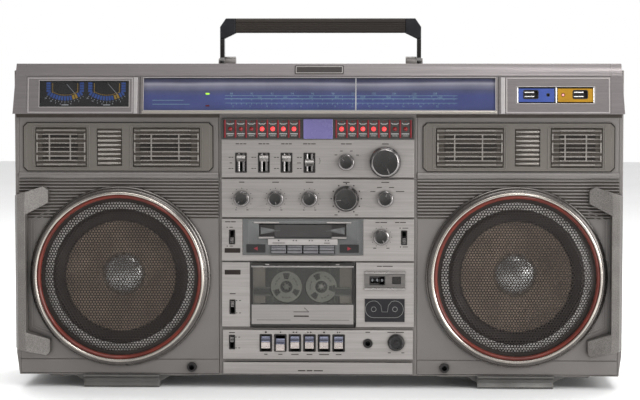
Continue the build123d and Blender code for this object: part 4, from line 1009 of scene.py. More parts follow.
def upper_deck():
    """The surround of the cassette slot, its funnel and tunnel, key bed, label strip and arrows."""
    x0, x1, z0, z1 = TAPE2_BAY
    bay = Shape()
    bay.plate(x0, x1, z0, z1, -82.4, BAFFLE_Y, [FUNNEL, KEY_BED])
    bay.ring(rect(x0, x1, z0, z1), rect(x0 + 1.2, x1 - 1.2, z0 + 1.2, z1 - 1.2), -83.1, -82.2)
    bay.loft([corners(FUNNEL, -82.4), corners(MOUTH, -80.3), corners(MOUTH, -79.4),
        corners(FUNNEL, BAFFLE_Y)], cyclic=True)
    bay.look = 1
    wall = 1.8
    outside = (MOUTH[0] - wall, MOUTH[1] + wall, MOUTH[2] - wall, MOUTH[3] + wall)
    bay.loft([corners(MOUTH, -79.6), corners(MOUTH, -10.0), corners(outside, -8.4), corners(outside, -79.6)],
        cyclic=True)
    bay.box(KEY_BED[0] - 1, KEY_BED[1] + 1, -70.0, -69.6, KEY_BED[2] - 1, KEY_BED[3] + 1)
    make("upper_deck_surround", bay, [BAY, BLACK], "cabinet", replaces=["tape2_bay"],
        bevel=0.3)
    strip = Shape()
    strip.prism_y(rounded(STRIP_BOX[0], STRIP_BOX[1], STRIP_BOX[2], STRIP_BOX[3], 0.6), STRIP_Y, -81.0)
    make("upper_deck_label_strip", strip, STRIP, "cabinet", bevel=0.2)
    # painted highlight: pale ledges where the funnel's corners catch light
    ledges = Shape()
    for a, b in ((MOUTH[0] - 0.5, -52.9), (16.7, MOUTH[1] + 0.5)):
        ledges.prism_x([(-80.2, 183.4), (-82.5, 182.6), (-82.5, 184.0), (-80.2, 185.0)], a, b)
        ledges.prism_x([(-80.6, 200.2), (-82.7, 201.6), (-82.7, 203.2), (-80.6, 201.6)], a - 6, b + 6)
    make("slot_ledge_highlights", ledges, STRIP, "cabinet", bevel=0.25)
    for name, lo in (("reverse", -86.6), ("forward", 26.6)):
        window = Shape()
        window.prism_y(rounded(lo, lo + 23.1, 165.5, 175.5, 0.8), -83.3, -82.0)
        window.look = 1
        cx, cz = lo + 11.5, 170.5
        side = -1 if name == "reverse" else 1
        tip = [(cx + side * 2.6, cz), (cx - side * 2.2, cz + 2.4), (cx - side * 2.2, cz - 2.4)]
        window.prism_y(tip if side > 0 else list(reversed(tip)), -83.55, STRIP_Y)
        make(name + "_direction_window", window, [GLOSS_BLACK, ARROW_RED], "cabinet",
            bevel=0.1)


def upper_flap():
    """The slot's flap: a dark leaf with a raised middle plate and a pointed guide at each end."""
    x0, x1, y0, y1, z0, z1 = span("tape2_flap")
    leaf = Shape()
    leaf.box(x0, x1, y0 + 0.3, y1, z0, z1 - 0.6)
    leaf.look = 1
    leaf.prism_y(rounded(-52.6, 16.4, z0 + 0.2, z1 - 0.4, 0.6), y0 - 0.5, y0 + 0.5)
    mid = (z0 + z1) / 2
    leaf.look = 2
    for base, tip in ((x0 + 1.4, -45.5), (x1 - 1.4, 9.4)):
        loops = []
        for k in range(5):
            x = base + (tip - base) * k / 4
            half = 4.4 * (1 - k / 4) + 0.25
            out = y0 - 0.95
            loops.append([(x, y0 + 0.4, mid - half), (x, out, mid), (x, y0 + 0.4, mid + half)])
        leaf.loft(loops)
    make("upper_flap_leaf", leaf, [BLACK, FLAP, BAY], "tape2_flap", replaces=["tape2_flap"],
        bevel=0.15)


# ---- lower deck ----
DOOR = (-81.4, 44.3, 75.2, 152.8)
DOOR_WINDOW = (-78.9, 41.8, 102.9, 148.0)
SILL = (-80.4, 43.3, 78.4, 102.4)
CASSETTE_X = (-67.3, 33.1)
CASSETTE_Y = -78.4
DOOR_BACK_Y, SILL_Y = -81.4, -85.3
INDICATOR_Y = -84.1
WHEEL_Z, WHEEL_PITCH = 131.85, 5.8


def lower_deck_door():
    """Door frame, smoked pane, bright sill plate with a plain arrow, and the guides behind the pane."""
    frame_shape = Shape()
    frame_shape.plate(*DOOR, -84.4, DOOR_BACK_Y, [DOOR_WINDOW])
    frame_shape.box(DOOR[0] + 1.0, DOOR[1] - 1.0, -85.2, -84.2, DOOR[2] + 0.2, SILL[2] - 0.6)
    for side, edge in ((-1, CASSETTE_X[0] - 0.5), (1, CASSETTE_X[1] + 0.5)):
        a, b = sorted((edge, edge + side * 2.2))
        frame_shape.box(a, b, -82.4, -66.5, 84.0, 101.0)
        frame_shape.box(a, b, -79.4, -66.5, 101.0, 142.0)
    make("lower_deck_door_frame", frame_shape, DOOR_DARK, "tape1_door", replaces=["tape1_door"],
        bevel=0.35)
    pane = Shape()
    pane.prism_y(rounded(DOOR[0] + 2.8, DOOR[1] - 2.8, 103.2, 147.7, 0.8), -83.9, -82.9)
    make("lower_deck_door_pane", pane, DOOR_PANE, "tape1_door")
    trim = Shape()
    trim.prism_x([(-84.2, 147.6), (-85.2, 147.8), (-85.2, 149.4), (-84.2, 149.8)], DOOR[0] + 0.4,
        DOOR[1] - 0.4)
    for x in (-61.3, 24.1):
        trim.box(x - 2.2, x + 2.2, -84.9, -84.3, 150.5, 151.9)
    make("door_top_trim", trim, LEVER_METAL, "tape1_door", bevel=0.2)
    sill = Shape()
    sill.prism_y(rounded(*SILL, 0.6), SILL_Y, -84.3)
    make("door_sill_plate", sill, SILL_SILVER, "tape1_door", bevel=0.35)
    arrow = Shape()
    arrow.stroke([(-29.4, 93.6), (-10.6, 93.6), (-16.2, 98.6)], 0.8, SILL_Y)
    for x, half in ((-53.5, 20.5), (14.5, 24.0)):
        arrow.stroke([(x - half, 83.6), (x + half, 83.6)], 0.45, SILL_Y)
    arrow.stroke([(-29.0, 88.4), (-10.8, 88.4)], 1.6, SILL_Y)
    make("door_sill_prints", arrow, PRINT, "tape1_door")
    sides = Shape()
    for a, b, arm in ((-78.4, -63.6, (-78.4 + 0.2, -63.6 + 6.0)), (26.6, 41.4, (26.6 - 6.0, 41.4 - 0.2))):
        sides.box(a, b, DOOR_BACK_Y, -80.6, 103.6, 147.4)
        sides.look = 1
        for lo, hi in ((112.6, 114.4), (121.8, 123.4)):
            sides.box(*arm, -82.6, -81.2, lo, hi)
        sides.look = 2
        sides.box(*arm, -82.0, -81.1, 114.4, 121.8)
        sides.look = 0
    make("door_side_guides", sides, [LABEL, BAY_LIGHT, FLAP], "tape1_door", bevel=0.2)


def cassette_details():
    """A raised trapezium, edge lines and four screws on the cassette that shows through the door."""
    marks = Shape()
    x0, x1 = CASSETTE_X
    cx = (x0 + x1) / 2
    y = CASSETTE_Y
    outline = rounded(x0 + 3, x1 - 3, 101.5, 150.0, 3.0)
    marks.stroke([*outline, outline[0]], 0.6, y, 0.35)
    marks.stroke([(cx - 38, 104.5), (cx - 31, 147.0)], 0.7, y, 0.4)
    marks.stroke([(cx + 38, 104.5), (cx + 31, 147.0)], 0.7, y, 0.4)
    marks.stroke([(cx - 31, 147.0), (cx + 31, 147.0)], 0.7, y, 0.4)
    marks.look = 1
    for dx in (-46.5, 46.5):
        for z in (93.0, 147.6):
            marks.lathe(cx + dx, z, [(0, y - 0.3), (1.3, y - 0.3), (1.5, y + 0.2)], 20)
    make("cassette_details", marks, [BAY_LIGHT, STEEL], "tape1_door")


def reel(name, turn):
    """A cassette reel: a pale flange with three windows, printed dashes, and a toothed dark hub."""
    x, z = middle(name)
    x0, x1, front, back, _, _ = span(name)
    radius = (x1 - x0) / 2
    radii = [7.4, 9.6, 16.8, radius]
    steps = 96
    reel_shape = Shape()

    def at(i, j):
        angle = 2 * pi * i / steps
        return x + radii[j] * cos(angle), z + radii[j] * sin(angle)

    def filled(i, j):
        offset = (degrees(2 * pi * (i + 0.5) / steps) - turn + 60) % 120 - 60
        return j != 1 or abs(offset) > 15

    reel_shape.cells(at, steps, 3, filled, front, front + 0.9, wrap=True)
    reel_shape.lathe(x, z, [(8.4, front - 0.25), (9.4, front - 0.25), (9.4, front + 0.2), (8.4, front + 0.2)],
        64, closed=True)
    reel_shape.look = 1
    reel_shape.lathe(x, z, [(7.5, front + 0.2), (4.9, front + 0.6), (4.9, back), (9.8, back),
        (9.8, front + 1.0), (7.5, front + 1.0)], 64, closed=True)
    for i in range(6):
        angle = radians(60 * i + turn)
        reel_shape.stroke([(x + r * cos(angle), z + r * sin(angle)) for r in (3.3, 5.0)], 1.5, front + 3.2,
            2.4)
    reel_shape.look = 2
    for i in range(3):
        for k in range(3):
            start = turn + 60 + 120 * i - 24 + 17 * k
            reel_shape.stroke(arc(x, z, 13.4, start, start + 12, 4), 1.5, front, 0.1)
    make(name + "_flange", reel_shape, [REEL, HUB_DARK, REEL_PRINT], name, replaces=[name])


def counter():
    """Rails and a dark window on the tape counter, digits on its wheels, and the reset button's frame."""
    x0, x1, z0, z1 = 56.7, 105.9, 120.4, 143.3
    rails = Shape()
    for low, high in ((z0 + 0.2, z0 + 3.2), (z1 - 3.2, z1 - 0.2)):
        rails.prism_x([(-84.4, low), (-85.6, low + 0.5), (-85.9, (low + high) / 2), (-85.6, high - 0.5),
            (-84.4, high)], x0 + 0.1, x1 - 0.1)
    make("counter_rails", rails, LEVER_METAL, "cabinet")
    face = Shape()
    digits, button = (63.1, 81.3, 126.7, 137.0), (90.2, 100.8, 127.8, 136.9)
    face.plate(x0 + 0.2, x1 - 0.2, z0 + 3.3, z1 - 3.3, -85.0, -84.5, [digits, button])
    make("counter_face", face, COUNTER_GREY, "cabinet", bevel=0.1)
    hood = Shape()
    hood.ring(rect(62.7, 81.7, 126.3, 137.4), rect(63.5, 80.9, 127.1, 136.6), -85.3, -80.2)
    hood.box(62.9, 74.0, -85.2, -84.7, 135.0, 137.2)
    hood.box(62.9, 74.0, -85.2, -84.7, 126.5, 128.8)
    make("counter_hood", hood, SATIN_BLACK, "cabinet", bevel=0.15)
    digit_prints = Shape()
    for i in range(3):
        digit_prints.numeral("0", 66.3 + WHEEL_PITCH * i, WHEEL_Z, 4.6, -79.6)
    make("counter_digits", digit_prints, PALE_PRINT, "cabinet")
    wheels = Shape()
    for i in range(3):
        wheels.prism_x([(-74.5 - 5.1 * cos(a), WHEEL_Z + 5.1 * sin(a)) for a in (2 * pi * k / 40
            for k in range(40))], 63.7 + WHEEL_PITCH * i, 69.1 + WHEEL_PITCH * i)
    make("counter_wheel_rims", wheels, GLOSS_BLACK, "cabinet")


def run_indicator():
    """A dark plate with the outline of a cassette path: two lobes joined round a notch."""
    x0, x1, z0, z1 = 57.0, 105.4, 81.5, 109.7
    plate = Shape()
    plate.prism_y(rounded(x0 + 0.1, x1 - 0.1, z0 + 0.1, z1 - 0.1, 0.5), INDICATOR_Y, -83.7)
    make("run_indicator_plate", plate, INDICATOR, "cabinet", bevel=0.1)
    lines = Shape()
    left, right, z, r = 67.9, 93.6, 97.0, 10.2
    path = arc(right, z, r, -90, 115, 18)
    path += [(85.6, 101.5), (84.5, 93.8), (77.9, 93.8), (76.6, 101.5)]
    path += arc(left, z, r, 65, 270, 18)
    path += [(right, z - r)]
    lines.stroke(path, 0.55, INDICATOR_Y)
    for x in (left, right):
        hub = circle_outline(x, z, 2.9, 24)
        lines.stroke([*hub, hub[0]], 0.6, INDICATOR_Y)
    make("run_indicator_lines", lines, REEL_PRINT, "cabinet")


# ---- prints on the control panels ----
DOTS, DOT_SWEEP = 11, 150    # printed dots round a knob, up to this many degrees either side of the top


def dash_row(prints, x, z, widths, gap=0.9, height=1.0, y=PANEL_Y):
    """A row of plain short bars centred on x, standing for a legend."""
    total = sum(widths) + gap * (len(widths) - 1)
    at = x - total / 2
    for width in widths:
        prints.box(at, at + width, y - 0.08, y, z - height / 2, z + height / 2)
        at += width + gap


def dots_round(prints, name, radius, size):
    """Printed dots on an arc round a knob, clockwise from the top."""
    x, z = middle(name)
    for i in range(DOTS):
        angle = radians(DOT_SWEEP * (2 * i / (DOTS - 1) - 1))
        cx, cz = x + radius * sin(angle), z + radius * cos(angle)
        prints.prism_y(circle_outline(cx, cz, size, 12), PANEL_Y - 0.08, PANEL_Y)


def symbol(prints, kind, x, z, size=1.5, y=PANEL_Y):
    """A transport symbol: record, stop, pause, or one or two arrows."""
    def arrow(cx, side):
        tip = [(cx + side * size, z), (cx - side * size * 0.7, z + size), (cx - side * size * 0.7, z - size)]
        prints.prism_y(tip, y - 0.1, y)
    if kind == "record":
        prints.prism_y(circle_outline(x, z, size, 20), y - 0.1, y)
    elif kind == "stop":
        prints.box(x - size * 0.8, x + size * 0.8, y - 0.1, y, z - size * 0.8, z + size * 0.8)
    elif kind == "pause":
        for side in (-1, 1):
            prints.box(x + side * 1.3 - 0.5, x + side * 1.3 + 0.5, y - 0.1, y, z - size * 0.8,
                z + size * 0.8)
    else:
        for side, cx in {"play": [(-1, x)], "rewind": [(-1, x - 1.7), (-1, x + 1.7)],
                "forward": [(1, x - 1.7), (1, x + 1.7)], "both": [(-1, x - 1.8), (1, x + 1.8)]}[kind]:
            arrow(cx, side)


def panel_prints():
    """Legends, scale dots and symbols of the control panels, with no lettering."""
    prints = Shape()
    for name in LEVERS:
        x, _ = middle(name)
        dash_row(prints, x, 297.4, [4.2, 3.2, 3.6] if name != "stereo_mode_switch" else [5.0, 3.0, 5.4])
        for z in (281.0, 267.6):
            dash_row(prints, x - 12.2, z, [2.6, 2.2], height=0.8)
    dash_row(prints, middle("tape2_type_switch")[0] - 12.2, 274.3, [3.0], height=0.8)
    dash_row(prints, middle("stereo_mode_switch")[0] - 12.6, 274.3, [5.0], height=0.8)
    prints.stroke([(1.2, 280.4), (2.4, 279.6), (2.4, 277.6), (3.3, 276.9), (2.4, 276.2), (2.4, 274.2),
        (1.2, 273.4)], 0.4, PANEL_Y)
    for name, widths in (("band_select_knob", [5.0, 7.0]), ("tuning_knob", [8.0]), ("bass_knob", [6.5]),
            ("treble_knob", [8.0]), ("balance_knob", [9.0]), ("volume_knob", [8.0]),
            ("function_knob", [9.5])):
        x, _ = middle(name)
        dash_row(prints, x, 297.4 if name in ("band_select_knob", "tuning_knob") else 251.0, widths)
    for name in ("bass_knob", "treble_knob", "balance_knob"):
        dots_round(prints, name, 12.7, 0.5)
        x, z = middle(name)
        for side, width in ((-1, 1.6), (1, 2.4)):
            dash_row(prints, x + side * 7.0, z - 13.6, [width], height=0.8)
    dots_round(prints, "volume_knob", 18.2, 0.85)
    dots_round(prints, "record_level_knob", 12.4, 0.45)
    for name in ("volume_knob", "record_level_knob", "monitor_level_knob"):
        x, z = middle(name)
        away = {"volume_knob": (12.4, 19.6), "record_level_knob": (8.0, 13.4),
            "monitor_level_knob": (8.2, 12.6)}[name]
        for side in (-1, 1):
            dash_row(prints, x + side * away[0], z - away[1], [3.6], height=0.9)
    for dx, dz in ((-12.5, 9.0), (-6.0, 13.7), (6.0, 13.7), (13.6, 8.8)):
        x, z = middle("band_select_knob")
        dash_row(prints, x + dx, z + dz, [3.2], height=0.8)
    for dx, dz, width in ((-15.0, 9.2, 6.0), (-7.0, 14.0, 6.0), (7.5, 14.0, 6.0), (18.0, 9.2, 10.0)):
        x, z = middle("function_knob")
        dash_row(prints, x + dx, z + dz, [width], height=0.8)
    dash_row(prints, -106.0, 202.8, [6.5, 5.5])
    dash_row(prints, 76.8, 202.4, [5.0, 8.0])
    dash_row(prints, 100.0, 202.4, [5.2, 7.0])
    for x, z, width in ((-106.5, 196.2, 4.0), (-106.5, 173.3, 4.0), (104.5, 195.6, 7.0), (104.5, 172.8, 6.0),
            (-96.0, 106.9, 2.2), (-96.0, 91.8, 2.2), (-97.0, 62.2, 2.2), (-97.0, 49.0, 2.2)):
        prints.prism_y(circle_outline(x - width / 2 - 1.4, z, 0.7, 12), PANEL_Y - 0.08, PANEL_Y)
        dash_row(prints, x + 1.4, z, [width], height=0.8)
    dash_row(prints, -103.4, 115.3, [7.0])
    dash_row(prints, 81.2, 149.2, [6.0, 12.0])
    dash_row(prints, -104.4, 67.8, [7.0])
    dash_row(prints, 60.7, 68.8, [5.6])
    dash_row(prints, 94.5, 68.8, [9.0, 10.0])
    kinds = ("record", "play", "rewind", "forward", "stop", "pause")
    for name, kind, width in zip(KEY_NAMES, kinds, (4.0, 5.0, 9.0, 7.0, 12.0, 7.0)):
        x, _ = middle(name)
        symbol(prints, kind, x, 68.4, 1.25)
        dash_row(prints, x, 41.4, [width], height=1.0)
    for x0, x1, z0, z1 in ((-113.1, -94.0, 165.1, 170.8), (-113.1, -93.8, 138.6, 144.3)):
        prints.prism_y(rounded(x0, x1, z0, z1, 0.4), PANEL_Y - 0.12, PANEL_Y)
    make("panel_prints", prints, PRINT, "cabinet")
    strip_prints = Shape()
    for name, kind, width in zip(TAPE2_KEYS, ("stop", "rewind", "forward", "both"), (15.0, 0.0, 0.0, 7.0)):
        x, _ = middle(name)
        symbol(strip_prints, kind, x, 180.2, 1.1, STRIP_Y)
        if width:
            dash_row(strip_prints, x, 177.2, [width], height=0.9, y=STRIP_Y)
    make("upper_deck_prints", strip_prints, PRINT, "cabinet")
    drawer = Shape()
    dash_row(drawer, -9.0, 21.5, [9.0, 7.0, 11.0], gap=1.6, height=1.3)
    make("drawer_prints", drawer, PRINT, "spare_tape_drawer")


# ---- loudspeakers ----
WOOFER_X, WOOFER_Z = 240.5, 136.0
HOLE_PITCH, HOLE_R, GRILLE_R = 3.55, 1.28, 94.2
SIDES = (("left", -1), ("right", 1))


def dish(r):
    """How far forward the grille stands at a radius."""
    knots = [(0.0, -86.4), (69.6, -87.2), (78.0, -89.3), (92.3, -85.4), (96.0, -85.2)]
    for (r0, y0), (r1, y1) in zip(knots, knots[1:]):
        if r <= r1:
            return y0 + (y1 - y0) * (r - r0) / (r1 - r0)
    return knots[-1][1]


def grille(sign):
    """A dished steel disc with a hexagonal pattern of round holes, cut as real geometry."""
    cx = sign * WOOFER_X
    points, faces, known = [], [], {}

    def point(x, z, back):
        key = (round(x, 3), round(z, 3), back)
        if key not in known:
            known[key] = len(points)
            points.append((cx + x, dish(hypot(x, z)) + (0.9 if back else 0.0), WOOFER_Z + z))
        return known[key]

    apothem = HOLE_PITCH / 2
    corner_r = apothem / cos(pi / 6)
    rows = ceil(GRILLE_R / (HOLE_PITCH * sqrt(0.75)))
    for row in range(-rows, rows + 1):
        z = row * HOLE_PITCH * sqrt(0.75)
        count = ceil(GRILLE_R / HOLE_PITCH)
        for column in range(-count, count + 1):
            x = (column + (row % 2) * 0.5) * HOLE_PITCH
            if hypot(x, z) > GRILLE_R - corner_r:
                continue
            rim, hole, deep = [], [], []
            for k in range(12):
                angle = pi / 6 * k
                out = apothem if k % 2 == 0 else corner_r
                rim.append(point(x + out * cos(angle), z + out * sin(angle), False))
                hx, hz = x + HOLE_R * cos(angle), z + HOLE_R * sin(angle)
                hole.append(point(hx, hz, False))
                deep.append(point(hx, hz, True))
            for k in range(12):
                n = (k + 1) % 12
                faces.append((rim[k], rim[n], hole[n], hole[k]))
                faces.append((hole[k], hole[n], deep[n], deep[k]))
    disc = Shape()
    disc.add(points, faces)
    outer, inner = 95.3, GRILLE_R - corner_r - 1.2
    disc.lathe(cx, WOOFER_Z, [(outer, -85.2), (inner + 1.6, dish(inner + 1.6) + 0.15),
        (inner, dish(inner) + 0.2), (inner, dish(inner) + 0.9), (outer, -84.2)], 128, closed=True)
    return disc


def driver(shape, cx):
    """The woofer behind its grille: basket ring, surround, cone with ridges, and a domed cap."""
    shape.look = 0
    shape.lathe(cx, WOOFER_Z, [(82.5, -79.2), (96.6, -79.2), (96.6, -76.5), (82.5, -76.5)], 128, closed=True)
    shape.lathe(cx, WOOFER_Z, [(88, -76), (103, -76), (103, -73), (94, -73), (52, -28), (52, -6), (30, -6),
        (30, -24), (46, -31), (88, -74)], 96, closed=True)
    shape.look = 1
    roll = [(80.5 - 6.5 * (1 - cos(t)), -76.2 - 4.2 * sin(t)) for t in (pi * i / 10 for i in range(11))]
    shape.lathe(cx, WOOFER_Z, [(84.0, -76.4), *roll, (67.0, -75.2), (84.0, -75.2)], 128, closed=True)
    shape.look = 2
    cone = []
    for i in range(21):
        k = i / 20
        ridge = 0.35 if i % 5 == 0 else 0.0
        cone.append((68.0 - 42.0 * k, -75.6 + 30.5 * k ** 0.86 - ridge))
    shape.lathe(cx, WOOFER_Z, [*cone, (26.0, -43.0), (68.0, -74.2)], 128, closed=True)
    shape.look = 3
    dome = [(26.8 * sin(t), -45.0 - 9.0 * cos(t)) for t in (pi / 2 * i / 12 for i in range(13))]
    shape.lathe(cx, WOOFER_Z, [*dome, (26.8, -44.0), (0, -44.0)], 96)
    shape.lathe(cx, WOOFER_Z, [(26.2, -45.2), (28.0, -46.2), (28.6, -45.0), (28.6, -44.0), (26.2, -44.0)], 96,
        closed=True)


def woofers():
    """Bezels, red rings, grilles and drivers, both sides."""
    for side, sign in SIDES:
        cx = sign * WOOFER_X
        bezel = Shape()
        bezel.lathe(cx, WOOFER_Z, [(93.4, -80), (110, -80), (110, -82.4), (109.4, -84.4), (108.4, -85.0),
            (108.2, -88.0), (106.6, -90.6), (105.4, -91.2), (105.0, -92.6), (103.4, -93.4), (100.2, -93.0),
            (100.2, -88.2), (95.4, -88.2), (95.4, -84.0), (93.4, -84.0)], 192, closed=True)
        bezel.look = 1
        bezel.lathe(cx, WOOFER_Z, [(103.9, -92.4), (103.6, -93.8), (102.6, -94.8), (101.4, -95.0),
            (100.3, -94.4), (100.1, -92.4)], 192, closed=True)
        make(side + "_woofer_bezel", bezel, [BEZEL, LIP], "cabinet",
            replaces=["woofer_bezels"] if side == "left" else [])
        ring = Shape()
        ring.lathe(cx, WOOFER_Z, [(95.6, -88.2), (99.9, -88.2), (99.9, -92.2), (99.2, -93.0), (98.0, -93.3),
            (96.6, -92.6), (95.6, -91.2)], 192, closed=True)
        make(side + "_woofer_red_ring", ring, RED_RING, "cabinet")
        make(side + "_woofer_grille", grille(sign), GRILLE, "cabinet",
            replaces=["woofer_grilles"] if side == "left" else [], crease=50)
        body = Shape()
        driver(body, cx)
        make(side + "_woofer_driver", body, [BASKET, RUBBER, PAPER, CAP_METAL], "cabinet",
            replaces=["speaker_drivers"] if side == "left" else [])


# ---- mid and treble panels ----
LOUVRE_PANEL = (126.7, 357.9, 263.7, 323.1)
LOUVRES = ((143.6, 223.3), (281.5, 342.1))
CENTRE_LOUVRE = (238.2, 267.3)
HORN_Z = 292.9
PLATE_Y = -81.4              # the front of the beige plates
BARS = ((19.2, 22.2), (14.6, 16.9), (9.3, 11.9), (4.1, 6.4), (-0.85, 0.85))


def sided(sign, a, b):
    """A span on the right-hand side, or its mirror on the left."""
    return (a, b) if sign > 0 else (-b, -a)


def louvre_block(panel, bars, sign, place):
    """Bright bars over a brown backing and near-black slot strips that paint the shade in the grooves,
    symmetric about the middle, with two upright ribs.
    """
    x0, x1 = sided(sign, *place)
    step = sided(sign, place[0] + 10.5, place[1] - 8.5)
    # painted shade: the brown backing and the near-black strips stand for the shade between the bars
    panel.look = 1
    panel.box(x0 - 0.2, x1 + 0.2, -80.9, -80.2, HORN_Z - 23.4, HORN_Z + 23.4)
    panel.look = 2
    for a, b in ((11.6, 14.9), (0.7, 4.3), (-4.3, -0.7), (-14.9, -11.6)):
        panel.box(step[0] - 1, step[1] + 1, -81.6, -80.9, HORN_Z + a, HORN_Z + b)
    panel.look = 1
    for sense in (-1, 1):
        for low, high in BARS:
            a, b = sorted((sense * low, sense * high))
            if low < 0 and sense < 0:
                continue             # the middle bar is its own mirror
            section = [(-80.8, a), (-82.5, a + 0.25), (-83.0, a + 0.7), (-83.0, b - 0.7), (-82.5, b - 0.25),
                (-80.8, b)]
            bars.look = 0
            bars.prism_x([(y, HORN_Z + up) for y, up in section], step[0], step[1])
            # the recessed ends of the bars are real, and their darker beige paints the shade on them
            bars.look = 1
            thin = [(-80.8, a), (-82.0, a + 0.3), (-82.3, b - 0.8), (-80.8, b)]
            bars.prism_x([(y, HORN_Z + up) for y, up in thin], x0 + 0.6, x1 - 0.6)
    bars.look = 0
    for low, high in ((9.3, 16.9), (-16.9, -9.3), (-6.4, 6.4)):
        for a in (x0 + 0.4, x1 - 2.2):
            bars.box(a, a + 1.8, -82.9, -80.8, HORN_Z + low, HORN_Z + high)
    for k in (1, 2):
        x = x0 + (x1 - x0) * (0.27 if k == 1 else 0.69)
        bars.prism_z([(x - 1.0, -80.8), (x - 0.8, -82.7), (x + 0.8, -82.7), (x + 1.0, -80.8)], HORN_Z - 16.5,
            HORN_Z + 16.5)


def louvre_panels():
    """Chamfered beige plates with two wide louvre blocks and a slatted one between them."""
    for side, sign in SIDES:
        panel, bars = Shape(), Shape()
        x0, x1 = sided(sign, LOUVRE_PANEL[0], LOUVRE_PANEL[1])
        z0, z1 = LOUVRE_PANEL[2:]
        windows = [(*sided(sign, a - 0.8, b + 0.8), HORN_Z - 24.0, HORN_Z + 24.0) for a, b in LOUVRES]
        centre = sided(sign, *CENTRE_LOUVRE)
        windows.append((centre[0] - 0.6, centre[1] + 0.6, HORN_Z - 22.6, HORN_Z + 22.6))
        cut = 4.6
        panel.plate(x0 + cut, x1 - cut, z0, z1, PLATE_Y, BAFFLE_Y, windows)
        for edge, inward in ((x0, 1), (x1, -1)):
            a, b = edge, edge + inward * cut
            outline = [(b, z0), (b, z1), (a, z1 - cut), (a, z0 + cut)]
            panel.prism_y(outline if inward < 0 else list(reversed(outline)), PLATE_Y, BAFFLE_Y)
        for a, b in LOUVRES:
            a, b = sided(sign, a, b)
            outer = rounded(a - 4.6, b + 4.6, HORN_Z - 25.6, HORN_Z + 25.6, 1.2)
            inner = rounded(a - 3.4, b + 3.4, HORN_Z - 24.6, HORN_Z + 24.6, 0.8)
            panel.ring(outer, inner, -82.0, -81.2)
        for place in LOUVRES:
            louvre_block(panel, bars, sign, place)
        # painted shade: a near-black ring round the plate draws the groove's dark line
        panel.look = 2
        lines = []
        for grow in (0.0, -1.0):
            a, b, low, high = x0 - grow, x1 + grow, z0 - grow, z1 + grow
            lines.append([(a, low + cut), (a + cut, low), (b - cut, low), (b, low + cut), (b, high - cut),
                (b - cut, high), (a + cut, high), (a, high - cut)])
        panel.ring(lines[0], lines[1], -81.55, BAFFLE_Y)
        # painted shade: a brown backing behind the middle slats
        panel.look = 1
        panel.box(centre[0], centre[1], -80.4, -79.9, HORN_Z - 22.4, HORN_Z + 22.4)
        bars.look = 0
        for i in range(8):
            z = HORN_Z + 5.5 * (i - 3.5)
            loops = []
            for k in range(6):
                x = centre[0] + 0.5 + (centre[1] - centre[0] - 1.0) * k / 5
                thin = 0.45 + 0.55 * min(1.0, (k if sign > 0 else 5 - k) / 1.5)
                loops.append([(x, -80.3 - 2.6 * thin * sin(t), z + 1.9 * thin * cos(t)) for t in (pi * m / 8
                    for m in range(9))])
            bars.loft(loops)
        make(side + "_louvre_panel", panel, [BEIGE, PAINTED_SHADE_BROWN, PAINTED_RECESS_SHADE], "cabinet",
            replaces=["louvre_panels"] if side == "left" else [], bevel=0.3)
        make(side + "_louvre_bars", bars, [BRIGHT_BAR, BEIGE], "cabinet")


# ---- ribs on the baffles ----
RIB_TOP, RIB_PITCH, RIBS = 254.5, 3.94, 12
RIB_X = (120.6, 363.2)
RIB_REACH = 107.0            # ribs stop at this radius round a woofer
CREST = 0.62                 # how far up a guard's prong its crease runs
GUARD_PRONGS = (             # upper edge's tip and root, then lower edge's tip and root
    ((329.5, 240.2), (362.5, 234.2), (329.5, 227.6), (354.6, 213.4)),
    ((328.6, 57.6), (354.0, 66.8), (328.6, 45.4), (361.5, 49.4)),
)


def rib_section(z0, z1, depth, steps=8):
    """A half-round (Y, Z) section standing on the baffle."""
    middle_z, half = (z0 + z1) / 2, (z1 - z0) / 2
    return [(BAFFLE_Y - depth * sin(t), middle_z + half * cos(t)) for t in (pi * i / steps
        for i in range(steps + 1))]


